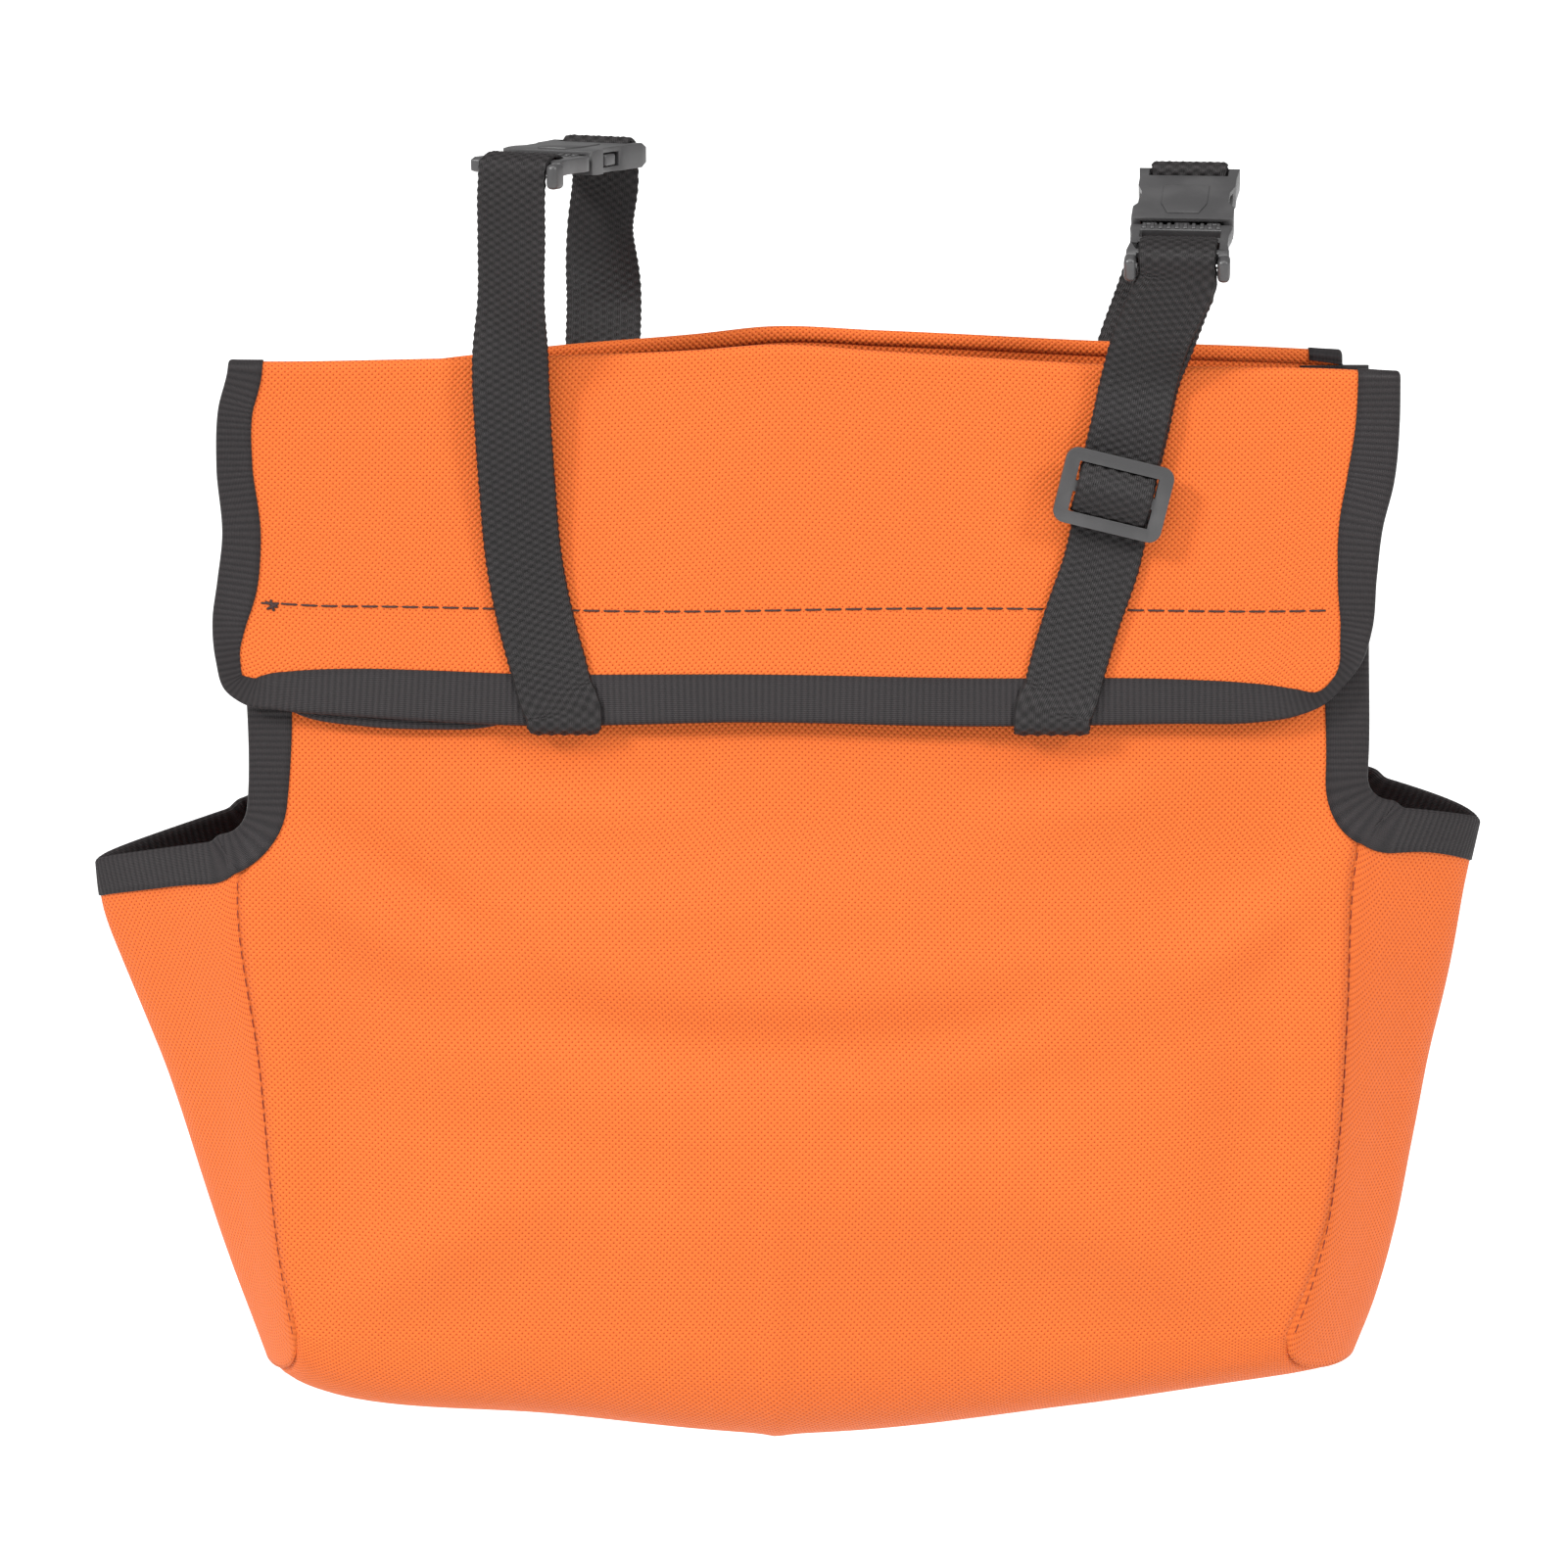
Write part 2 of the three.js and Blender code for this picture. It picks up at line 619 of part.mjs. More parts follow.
buckle("left", leftFrame);
buckle("right", rightFrame);

const leftJoin = v(-62, 27, SPLIT_Z);
const rightJoin = v(126, 27, SPLIT_Z);
const lowerJoin = (join) => join.clone().add(v(0, 0, -2));
const LEFT_KNEE = 9;
const RIGHT_KNEE = 8;

place("left_front_strap_end", strapEnd(FRONT, LEFT_STITCH_X, LEFT_FOOT_X), blackWebbing);
place("right_front_strap_end", strapEnd(FRONT, RIGHT_STITCH_X, RIGHT_FOOT_X), blackWebbing);
place("left_back_strap_end", strapEnd(BACK, LEFT_BACK_X, LEFT_BACK_X), blackWebbing);
place("right_back_strap_end", strapEnd(BACK, RIGHT_STITCH_X, RIGHT_STITCH_X), blackWebbing);

place(
  "left_front_strap",
  frontStrap(leftFrame, LEFT_STITCH_X, LEFT_MOUTH_X, LEFT_END_GAP, LEFT_KNEE, leftWide),
  blackWebbing,
);
place(
  "right_front_strap",
  frontStrap(rightFrame, RIGHT_STITCH_X, RIGHT_MOUTH_X, RIGHT_END_GAP, RIGHT_KNEE, rightWide),
  blackWebbing,
);
place("left_back_strap", backStrap(LEFT_BACK_X, LEFT_BACK_X, lowerJoin(leftJoin)), blackWebbing);
place("right_back_strap", backStrap(RIGHT_STITCH_X, RIGHT_BACK_X, lowerJoin(rightJoin)), blackWebbing);
const leftTop = loopTop(leftFrame, LEFT_END_GAP, LEFT_KNEE, leftJoin, leftWide);
const rightTop = loopTop(rightFrame, RIGHT_END_GAP, RIGHT_KNEE, rightJoin, rightWide);
place("left_loop_top", leftTop, blackWebbing);
place("right_loop_top", rightTop, blackWebbing);

// Between the slider and its buckle the right strap is doubled by its own tail. The slider lies
// over both, square to the strap.
const SLIDER_Z = -101;
const TAIL_OUT = WEB + GAP;
const SLIDER_OUT = TAIL_OUT + WEB / 2 + 2 * GAP;
const TAIL_START_Z = SLIDER_Z + 2;
const TAIL_END_Z = MOUTH_Z - 2;
const onStrap = (z, atStitch, atMouth) =>
  THREE.MathUtils.mapLinear(z, strapStart, MOUTH_Z, atStitch, atMouth);
const overStrap = (z, out) => {
  const x = onStrap(z, RIGHT_STITCH_X, RIGHT_MOUTH_X);
  return wallPoint(FRONT, x, z, onStrap(z, STRAP_OUT, STRAP_MOUTH_OUT) + out);
};
const strapFace = (z) => overStrap(z, SLIDER_OUT);
const sliderAlong = strapFace(MOUTH_Z).sub(strapFace(strapStart)).normalize();
const sliderUp = new THREE.Vector3().crossVectors(sliderAlong, v(-1, 0, 0)).normalize();
const sliderAcross = new THREE.Vector3().crossVectors(sliderUp, sliderAlong);
const sliderFrame = new THREE.Matrix4()
  .makeBasis(sliderAlong, sliderAcross, sliderUp)
  .setPosition(strapFace(SLIDER_Z));
const tailPath = [overStrap(TAIL_START_Z, TAIL_OUT), overStrap(TAIL_END_Z, TAIL_OUT + GAP)];
place("right_strap_tail", webbing(tailPath, 2), blackWebbing);
place("strap_slider", sliderGeometry().applyMatrix4(sliderFrame), greyPlastic);

export default bag;
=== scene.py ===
# %% [markdown]
# # A fruit picking bag
# A cloth sack with a turned-over cuff at the mouth, black tape round every raw edge, open pockets in
# both sides, and two webbing loops that hang it from a rail or a belt. The frame, its bodies and its
# joints are already there, so every piece here is made in place, in the frame's own axes.

# %% Frame and box
import json
import math

import bpy
import numpy as np
from mathutils import Matrix, Vector


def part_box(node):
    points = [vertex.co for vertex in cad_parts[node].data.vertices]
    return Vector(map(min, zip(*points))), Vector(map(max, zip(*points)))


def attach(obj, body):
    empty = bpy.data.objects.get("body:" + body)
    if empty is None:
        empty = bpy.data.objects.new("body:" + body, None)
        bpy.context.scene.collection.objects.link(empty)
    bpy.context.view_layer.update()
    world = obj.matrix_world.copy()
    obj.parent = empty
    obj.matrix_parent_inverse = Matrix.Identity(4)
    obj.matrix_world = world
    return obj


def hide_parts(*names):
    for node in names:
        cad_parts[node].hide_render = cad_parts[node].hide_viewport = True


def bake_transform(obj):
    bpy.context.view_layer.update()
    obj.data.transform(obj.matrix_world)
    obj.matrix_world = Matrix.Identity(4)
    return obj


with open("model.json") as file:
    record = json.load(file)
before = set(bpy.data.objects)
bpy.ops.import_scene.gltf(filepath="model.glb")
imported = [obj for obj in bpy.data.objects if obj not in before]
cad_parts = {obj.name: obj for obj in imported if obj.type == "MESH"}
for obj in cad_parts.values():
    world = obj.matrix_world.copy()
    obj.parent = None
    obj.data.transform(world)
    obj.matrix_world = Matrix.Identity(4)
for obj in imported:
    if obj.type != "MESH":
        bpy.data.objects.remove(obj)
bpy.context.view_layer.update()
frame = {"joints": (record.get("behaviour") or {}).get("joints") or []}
MM = 0.001
FRONT, BACK = -1, 1
LEFT, RIGHT = -1, 1
JOINTS = {joint["name"]: joint for joint in frame["joints"]}
SIDE_NAMES = {FRONT: "front", BACK: "back"}
HAND_NAMES = {LEFT: "left", RIGHT: "right"}

# %% [markdown]
# The camera stands in front of the bag and a little above it, so that the back edge of the mouth and
# the insides of the two side pockets can just be seen over their front edges. The floor is far below,
# because the bag hangs.

# %% Camera, floor and light
TARGET = Vector((-1.5, 0, -205)) * MM
ELEVATION = math.radians(13)
DISTANCE = 1.5
WIDTH_SEEN = 0.528
SENSOR = 36

camera = bpy.data.objects.new("camera", bpy.data.cameras.new("camera"))
bpy.context.scene.collection.objects.link(camera)
camera.data.sensor_width = SENSOR
camera.data.lens = SENSOR * DISTANCE / WIDTH_SEEN
camera.location = TARGET + DISTANCE * Vector((0, -math.cos(ELEVATION), math.sin(ELEVATION)))
camera.rotation_euler = (math.pi / 2 - ELEVATION, 0, 0)
bpy.context.scene.camera = camera
bpy.context.scene.view_settings.view_transform = "Standard"

FLOOR_Z = -0.95
FLOOR_SIZE = 60
SKY = 0.44


def soft_light(name, azimuth, elevation, softness, strength):
    """A wide soft light a long way off. Azimuth 0 is in front of the bag and 90 is on its right."""
    made = bpy.data.objects.new(name, bpy.data.lights.new(name, "SUN"))
    bpy.context.scene.collection.objects.link(made)
    made.data.angle = math.radians(softness)
    made.data.energy = strength
    turn, lift = math.radians(azimuth), math.radians(elevation)
    towards = Vector((math.sin(turn) * math.cos(lift), -math.cos(turn) * math.cos(lift), math.sin(lift)))
    made.rotation_euler = towards.to_track_quat("Z", "Y").to_euler()
    return made


soft_light("left_light", -56, 34, 13, 2.15)
soft_light("right_light", 54, 32, 15, 1.35)
soft_light("top_light", -8, 62, 50, 1.5)

world = bpy.data.worlds.new("studio")
world.use_nodes = True
world.node_tree.nodes["Background"].inputs["Color"].default_value = (1, 1, 1, 1)
world.node_tree.nodes["Background"].inputs["Strength"].default_value = SKY
bpy.context.scene.world = world
print("the camera stands at", [round(c, 3) for c in camera.location])

# %% [markdown]
# ## Writing a finish
# A finish is worked out from where a point is on the cloth or the plastic. One small class lets a
# socket be used in a sum, so that the weave reads as the formula that it is, and one method adds every
# other kind of node.


# %% Sockets that can be used in sums
class Link:
    """One output socket of a finish. A sum with it adds the Math node that works the sum out."""

    def __init__(self, finish, socket):
        self.finish = finish
        self.socket = socket

    def maths(self, operation, *values):
        return self.finish.node("Math", {"operation": operation}, *values)

    def __add__(self, other):
        return self.maths("ADD", self, other)

    def __sub__(self, other):
        return self.maths("SUBTRACT", self, other)

    def __rsub__(self, other):
        return self.maths("SUBTRACT", other, self)

    def __mul__(self, other):
        return self.maths("MULTIPLY", self, other)

    __radd__ = __add__
    __rmul__ = __mul__

    def wave(self, pitch, shift=0.0):
        """A cosine wave of that pitch along this value."""
        return self.maths("COSINE", self * (2 * math.pi / pitch) + shift)

    def between(self, low, high):
        """0 below low, 1 above high, and smooth in the middle."""
        return self.finish.node(
            "MapRange", {"interpolation_type": "SMOOTHSTEP"}, self, low, high, 0.0, 1.0
        )


class Finish:
    """A material on a Principled shader, with its nodes made one at a time."""

    def __init__(self, name, **constants):
        self.material = bpy.data.materials.new(name)
        self.material.use_nodes = True
        self.tree = self.material.node_tree
        self.shader = self.tree.nodes["Principled BSDF"]
        for socket, value in constants.items():
            self.shader.inputs[socket.replace("_", " ")].default_value = value

    def node(self, kind, settings, *values, output=0, **sockets):
        made = self.tree.nodes.new("ShaderNode" + kind)
        for setting, value in settings.items():
            setattr(made, setting, value)
        for socket, value in [*enumerate(values), *sockets.items()]:
            place = made.inputs[socket]
            if isinstance(value, Link):
                self.tree.links.new(value.socket, place)
            elif value is not None:
                place.default_value = value
        return Link(self, made.outputs[output])

    def mix(self, share, first, second):
        """A colour between two colours."""
        nothing = [None] * 5
        settings = {"data_type": "RGBA"}
        return self.node("Mix", settings, share, *nothing, first, second, output=2)

    def place(self, map_name="flat"):
        """How far along and across the cloth a point is, in metres, from its own UV map."""
        spot = self.node("UVMap", {"uv_map": map_name})
        apart = {"Vector": spot}
        return [self.node("SeparateXYZ", {}, output=i, **apart) for i in (0, 1)]

    def noise(self, scale, detail=2.0):
        """Soft random variation over the object, from 0 to 1."""
        spot = self.node("TexCoord", {}, output=3)
        return self.node("TexNoise", {}, Vector=spot, Scale=scale, Detail=detail)

    def wear(self, colour, roughness, relief, height):
        """Links the finish to its shader: a colour, a roughness and a bump of that height."""
        bump = self.node("Bump", {}, Strength=1.0, Distance=height, Height=relief)
        for socket, value in (("Base Color", colour), ("Roughness", roughness), ("Normal", bump)):
            self.tree.links.new(value.socket, self.shader.inputs[socket])
        return self.material


# %% [markdown]
# ## Cloth finish
# The sack is coated Oxford cloth. Its threads cross in pairs, which leaves a small pit at every second
# crossing, so the pits stand in slanting rows about a millimetre and a half apart. The pits are lower
# than the threads, and their colour is painted darker, a painted shade in the pits. The colour also
# wanders a little from one part of the cloth to the next.

# %% Orange Oxford cloth
WEAVE = 2.1 * MM
THREAD_HEIGHT = 0.3 * MM
ORANGE = (0.70, 0.140, 0.020, 1)
PIT_SHADE_AND_SLUB_ORANGE = (0.36, 0.030, 0.003, 1)
PALE_ORANGE = (0.74, 0.160, 0.026, 1)


def cloth_finish():
    finish = Finish("orange_cloth", Sheen_Weight=0.03, Sheen_Roughness=0.5, Specular_IOR_Level=0.25)
    across, along = finish.place()
    crossing = across.wave(WEAVE) * along.wave(WEAVE)
    pits = (0 - crossing).between(0.35, 1.0)
    slub = finish.noise(900.0)
    drift = finish.noise(9.0, 3.0).between(0.35, 0.65)
    ground = finish.mix(drift * 0.35, ORANGE, PALE_ORANGE)
    # painted shade: the colour is darker in the pits of the weave, where shade falls; the slub adds random
    # tone towards the same darker orange
    colour = finish.mix(pits * 0.95 + slub * 0.14, ground, PIT_SHADE_AND_SLUB_ORANGE)
    roughness = 0.62 + pits * 0.2 + drift * 0.06
    return finish.wear(colour, roughness, crossing * 0.5 + slub * 0.3, THREAD_HEIGHT)


ORANGE_CLOTH = cloth_finish()
print("the weave repeats every", round(WEAVE / MM, 2), "mm")

# %% [markdown]
# ## Tape and webbing finish
# The binding tape and the straps are woven of black polypropylene. Their coarse ribs are in the shape
# of the pieces themselves. The finish adds the fine threads inside a rib, which catch small lights, and
# paints the raised ribs lighter and the dips between them darker, a painted highlight and shade.

# %% Black tape, black webbing and dark thread
TAPE_RIB = 2.1
FINE_THREAD = 0.55 * MM
FINE_HEIGHT = 0.10 * MM
TAPE_DARK = (0.007, 0.005, 0.006, 1)
TAPE_LIGHT = (0.030, 0.024, 0.025, 1)


def tape_finish(name, dark, light, thread, height, pattern=None):
    """pattern takes the places along and across, and gives where the coarse threads stand up, which the
    colour paints lighter as a painted highlight, with painted shade between them.
    """
    finish = Finish(name, Specular_IOR_Level=0.35)
    along, across = finish.place()
    rows = across.wave(thread)
    rib_highlight_and_shade = along.wave(TAPE_RIB * MM) if pattern is None else pattern(along, across)
    fuzz = finish.noise(2200.0)
    wander = finish.noise(26.0)
    # painted highlight and shade: the colour is lighter on the raised ribs and darker between them; rows,
    # fuzz and wander are the threads' own tone
    share = rib_highlight_and_shade * 0.24 + rows * 0.10 + fuzz * 0.45 + wander * 0.25
    colour = finish.mix(share, dark, light)
    roughness = 0.44 + fuzz * 0.22
    return finish.wear(colour, roughness, rows * 0.6 + fuzz * 0.5, height)


BLACK_TAPE = tape_finish("black_tape", TAPE_DARK, TAPE_LIGHT, FINE_THREAD, FINE_HEIGHT)
WEB_DARK = (0.004, 0.003, 0.003, 1)
WEB_LIGHT = (0.028, 0.024, 0.025, 1)
WEB_WIDTH = 25
WEB_ROW = 2.6
WEB_COLUMN = WEB_WIDTH / 11


def brick(along, across):
    """Humps that alternate from one column of the webbing to the next, painted lighter as a painted
    highlight, with painted shade between them.
    """
    columns = across.wave(2 * WEB_COLUMN * MM, -math.pi * WEB_WIDTH / 2 / WEB_COLUMN)
    return along.wave(WEB_ROW * MM) * columns * 2.2


WEB_THREAD = 0.7 * MM
WEB_HEIGHT = 0.14 * MM
BLACK_WEBBING = tape_finish("black_webbing", WEB_DARK, WEB_LIGHT, WEB_THREAD, WEB_HEIGHT, brick)
THREAD_DARK = (0.020, 0.010, 0.010, 1)
THREAD_LIGHT = (0.060, 0.026, 0.024, 1)
SEAM_DARK = (0.10, 0.006, 0.002, 1)
SEAM_LIGHT = (0.30, 0.030, 0.008, 1)
TWIST = 0.3 * MM
TWIST_HEIGHT = 0.04 * MM
SEAM_THREAD = tape_finish("seam_thread", SEAM_DARK, SEAM_LIGHT, TWIST, TWIST_HEIGHT)
DARK_THREAD = tape_finish("dark_thread", THREAD_DARK, THREAD_LIGHT, TWIST, TWIST_HEIGHT)
print("webbing", WEB_WIDTH, "mm wide, with a rib every", WEB_ROW, "mm")

# %% [markdown]
# ## Plastic finish
# The buckles and the slider are moulded acetal, dark grey and satin. A fine grain breaks the shine,
# and soft random patches are a little smoother and are painted a lighter grey, a painted sheen.

# %% Satin grey plastic
PLASTIC_DARK = (0.026, 0.025, 0.026, 1)
PLASTIC_SHEEN_LIGHT = (0.062, 0.060, 0.061, 1)
GRAIN_HEIGHT = 0.03 * MM


def plastic_finish():
    finish = Finish("satin_plastic", Specular_IOR_Level=0.85)
    grain = finish.noise(2600.0)
    sheen_patches = finish.noise(60.0, 3.0).between(0.4, 0.7)
    # painted sheen: soft random patches are painted a lighter grey, and they are also a little smoother
    colour = finish.mix(sheen_patches * 0.5 + grain * 0.15, PLASTIC_DARK, PLASTIC_SHEEN_LIGHT)
    roughness = 0.40 + grain * 0.1 - sheen_patches * 0.1
    return finish.wear(colour, roughness, grain, GRAIN_HEIGHT)


SATIN_PLASTIC = plastic_finish()
print("the grain of the plastic is", round(GRAIN_HEIGHT / MM, 3), "mm high")

# %% [markdown]
# ## Floor
# The floor isn't part of the bag. It is a plain plane, so large that its edge is never seen, with the
# faintest speckle in its colour so that it doesn't look drawn.


# %% Pale floor
def floor_finish():
    finish = Finish("pale_floor", Specular_IOR_Level=0.0)
    speckle = finish.noise(3.0)
    colour = finish.mix(speckle * 0.1, (1, 1, 1, 1), (0.97, 0.97, 0.97, 1))
    return finish.wear(colour, 0.9 + speckle * 0.05, speckle, 0.0)


bpy.ops.mesh.primitive_plane_add(size=FLOOR_SIZE, location=(0, 0, FLOOR_Z))
floor = bpy.context.object
floor.name = "floor"
floor.data.materials.append(floor_finish())
print("the floor is", -FLOOR_Z, "m below the frame's origin")

# %% [markdown]
# ## Lines and meshes
# Cloth has no primitive to start from, so its shapes are drawn as a tailor would: a few points with a
# smooth line through them, rows of such points for a sheet, and a section carried along a line for
# tape and webbing. Each mesh gets a UV map that is measured in metres of flat cloth, so the weave has
# its real size and runs with the threads.


# %% Smooth lines through a few points
def through(*points):
    """A smooth function that passes through (key, value) points, flat beyond its ends."""
    keys, values = np.array(sorted(points), float).T
    slopes = np.gradient(values, keys)

    def at(key):
        key = np.clip(key, keys[0], keys[-1])
        i = np.clip(np.searchsorted(keys, key, side="right") - 1, 0, len(keys) - 2)
        span = keys[i + 1] - keys[i]
        t = (key - keys[i]) / span
        start = (2 * t**3 - 3 * t**2 + 1) * values[i] + (t**3 - 2 * t**2 + t) * span * slopes[i]
        end = (3 * t**2 - 2 * t**3) * values[i + 1] + (t**3 - t**2) * span * slopes[i + 1]
        return start + end

    return at


def smooth(low, high, value):
    """0 below low, 1 above high and smooth in between."""
    t = np.clip((value - low) / (high - low), 0, 1)
    return t * t * (3 - 2 * t)


def lerp(first, second, share):
    return first + (second - first) * share


def lengths(points):
    """Distance along a line of points, from its start."""
    steps = np.linalg.norm(np.diff(points, axis=0), axis=1)
    return np.concatenate([[0], np.cumsum(steps)])


def pick(line, along, at):
    """The points of a line at the distances at, where along is each point's own distance."""
    return np.stack([np.interp(at, along, column) for column in line.T], 1)


def evenly(points, step):
    """The smooth line through points, with new points about step apart. Columns are kept."""
    points = np.array(points, float)
    rough = lengths(points[:, :3])
    fine = np.linspace(0, rough[-1], 40 * len(points))
    columns = [through(*zip(rough, column))(fine) for column in points.T]
    dense = np.stack(columns, 1)
    along = lengths(dense[:, :3])
    return pick(dense, along, np.linspace(0, along[-1], max(3, round(along[-1] / step))))


def unit(vectors):
    return vectors / np.linalg.norm(vectors, axis=-1, keepdims=True)


# %% Meshes from rows of points
def new_piece(name, points, faces, uvs, material):
    """A smooth mesh object from points in millimetres, with one UV pair for each face corner."""
    mesh = bpy.data.meshes.new(name)
    mesh.from_pydata((points * MM).tolist(), [], faces)
    mesh.uv_layers.new(name="flat").data.foreach_set("uv", (uvs * MM).ravel())
    mesh.materials.append(material)
    mesh.polygons.foreach_set("use_smooth", np.ones(len(mesh.polygons), bool))
    made = bpy.data.objects.new(name, mesh)
    bpy.context.scene.collection.objects.link(made)
    return made


def apply_all(piece):
    """Applies the piece's modifiers, in order."""
    bpy.ops.object.select_all(action="DESELECT")
    piece.select_set(True)
    bpy.context.view_layer.objects.active = piece
    for modifier in list(piece.modifiers):
        bpy.ops.object.modifier_apply(modifier=modifier.name)
    return piece


def sheet_piece(name, rows, material, thick, flipped=False):
    """A sheet of cloth from rows of points: its thickness goes inwards from the points."""
    count, width = rows.shape[:2]
    index = np.arange(count * width).reshape(count, width)
    corners = [index[:-1, :-1], index[:-1, 1:], index[1:, 1:], index[1:, :-1]]
    if not flipped:
        corners = corners[::-1]
    faces = np.stack(corners, -1).reshape(-1, 4)
    steps = np.linalg.norm(np.diff(rows, axis=1), axis=2)
    across = np.concatenate([np.zeros((count, 1)), np.cumsum(steps, 1)], 1)
    across -= across[:, width // 2][:, None]
    along = np.repeat(lengths(rows[:, width // 2])[:, None], width, 1)
    flat = np.stack([across, along], -1).reshape(-1, 2)
    made = new_piece(name, rows.reshape(-1, 3), faces.tolist(), flat[faces.ravel()], material)
    wall = made.modifiers.new("thickness", "SOLIDIFY")
    wall.thickness = thick * MM
    wall.offset = -1
    apply_all(made)
    print(name, len(made.data.polygons), "faces")
    return made


def strip_piece(name, rings, along, around, material):
    """A closed strip: rings of points carried along a line, with a face over each end."""
    count, size = rings.shape[:2]
    index = np.arange(count * size).reshape(count, size)
    turned = np.roll(index, -1, 1)
    quads = np.stack([index[:-1], turned[:-1], turned[1:], index[1:]], -1).reshape(-1, 4)
    faces = [*quads.tolist(), index[0][::-1].tolist(), index[-1].tolist()]
    start, end = along[:-1, None], along[1:, None]
    left, right = around[None, :-1], around[None, 1:]
    pairs = [(start, left), (start, right), (end, right), (end, left)]
    quad_uvs = np.stack([np.stack(np.broadcast_arrays(*pair), -1) for pair in pairs], 2)
    cap = np.stack([np.full(size, along[0]), around[:-1]], 1)
    uvs = np.concatenate([quad_uvs.reshape(-1, 2), cap[::-1], cap])
    made = new_piece(name, rings.reshape(-1, 3), faces, uvs, material)
    print(name, len(faces), "faces")
    return made


# %% [markdown]
# ## The shape of the sack
# The sack is a loft. At each height it has a left edge, a right edge, a depth at its edges and a
# deeper middle, because cloth that carries fruit bellies out between its seams. It is soft and was
# folded flat once, so it is not the same on its left and its right.

# %% Heights, edges and depths of the sack
CORNER_Z = -384
FOLD_Z = -57
HEM_Z = -177
NOTCH_Z = {LEFT: -216.5, RIGHT: -205.5}
STITCH_Z = round(JOINTS["front_hem_lift"]["pos_m"][2] / MM)
CLOTH = 0.8
SAG_SIDE = 20
BOTTOM_SAG = through(
    (-182, 20), (-173, 25.5), (-157, 30.2), (-80, 36.8), (-4, 44), (98, 33.2), (164, 23.5), (197, 20)
)
BOTTOM_FULLNESS = 2.6
RIM_DROP = {LEFT: 15, RIGHT: 12}
NOTCH_ROUND = 10
TIP_ROUND = {LEFT: 0.14, RIGHT: 0.5}

EDGE_X = {
    LEFT: through(
        (-384, -165.6), (-357, -170), (-290, -175.8), (-232, -182), (-205, -178.5), (-141, -179),
        (-57, -176),
    ),
    RIGHT: through(
        (-384, 167.5), (-366, 174), (-344, 179.8), (-314, 183.4), (-271, 185.4), (-231, 186.4),
        (-200, 190.5), (-141, 190.5), (-100, 193), (-57, 193),
    ),
}
EDGE_DEPTH = through((-384, 48), (-300, 41), (-211, 30), (-141, 24), (-57, 17))
MIDDLE_DEPTH = through((-384, 60), (-340, 59), (-300, 54), (-211, 35), (-141, 25), (-57, 14))
BULGE = {
    LEFT: through(
        (-384, 15.4), (-359, 20.6), (-318, 29.6), (-280, 38), (-250, 45), (-231, 50.6), (-215, 54)
    ),
    RIGHT: through((-384, 28.6), (-373, 28.8), (-341, 28.8), (-290, 32.8), (-241, 41), (-204, 43)),
}
MOUTH_Z = {
    FRONT: through(
        (-190, -59.3), (-172, -59.6), (-120, -58.9), (-75, -57.9), (-30, -56.2), (-4, -54.4),
        (30, -56.6), (110, -61), (183, -62.3), (200, -63.3),
    ),
    BACK: through(
        (-190, -68), (-150, -66.5), (-110, -62), (-78, -58.6), (-30, -54.8), (-6, -52.3), (30, -53.6),
        (106, -57.4), (178, -60.6), (200, -62.4),
    ),
}
BACK_INSET = 8
BACK_CLOSED = 8


def edge_x(hand, side, z):
    """The side edge of the front or the back. The back is drawn in at the top of its right side."""
    inset = BACK_INSET * smooth(-130, -62, z) * (hand == RIGHT)
    return EDGE_X[hand](z) - np.where(np.asarray(side) == BACK, inset, 0.0)


neck_wide = float(edge_x(RIGHT, FRONT, STITCH_Z) - edge_x(LEFT, FRONT, STITCH_Z))
print("the neck is", round(neck_wide), "mm wide and the sack ends", SAG_SIDE, "mm under", CORNER_Z)

# %% [markdown]
# ## Wrinkles
# Each wrinkle is a long soft hump or hollow: its middle, its two half lengths, the way it runs and how
# far it stands out. The cloth is pulled from the strap ends and the pocket corners, and it sags in a
# wide smile between the two side seams. A straight crease is left down the middle.

# %% Humps and hollows of the front and the back
# middle x, middle z, half length, half width, angle in degrees, height
WRINKLES = {
    FRONT: [
        (-68, -192, 26, 8, -8, -2.0),
        (-72, -206, 34, 9, -12, 1.4),
        (90, -192, 24, 8, 8, -2.0),
        (92, -207, 30, 10, 14, 1.3),
        (145, -228, 30, 34, 35, -4.2),
        (-140, -242, 44, 11, -38, 2.6),
        (-118, -236, 46, 9, -34, -2.2),
        (158, -244, 34, 9, 40, 1.8),
        (118, -262, 54, 11, 24, 2.2),
        (-150, -300, 18, 52, 6, -2.6),
        (152, -318, 16, 48, -5, -2.6),
        (-118, -352, 46, 15, 34, 2.6),
        (118, -352, 48, 15, -30, 2.4),
        (-20, -238, 74, 16, 3, 2.2),
        (30, -330, 88, 20, -5, 2.0),
        (-70, -318, 64, 14, -12, -1.8),
        (70, -300, 60, 12, 14, -1.6),
    ],
    BACK: [
        (-60, -200, 30, 9, 6, -1.8),
        (96, -198, 30, 9, -8, -1.8),
        (-120, -240, 50, 11, 34, -2.4),
        (128, -246, 50, 12, -32, 2.6),
        (-10, -250, 80, 16, -3, 2.2),
        (20, -320, 90, 18, 6, -2.2),
        (-90, -340, 56, 15, -28, 2.4),
        (100, -350, 52, 15, 28, 2.2),
    ],
}
WRINKLE_SCALE = 1.35
SMILE_DEPTH = 3.6
SMILE_WIDTH = 12
SMILE_Z = -262
SMILE_RISE = 22
SMILE_REACH = 130
SMILE_END = 115
SMILE_LIP = 20
CREASE_X = -4
CREASE_HEIGHT = 1.6
CREASE_WIDTH = 5


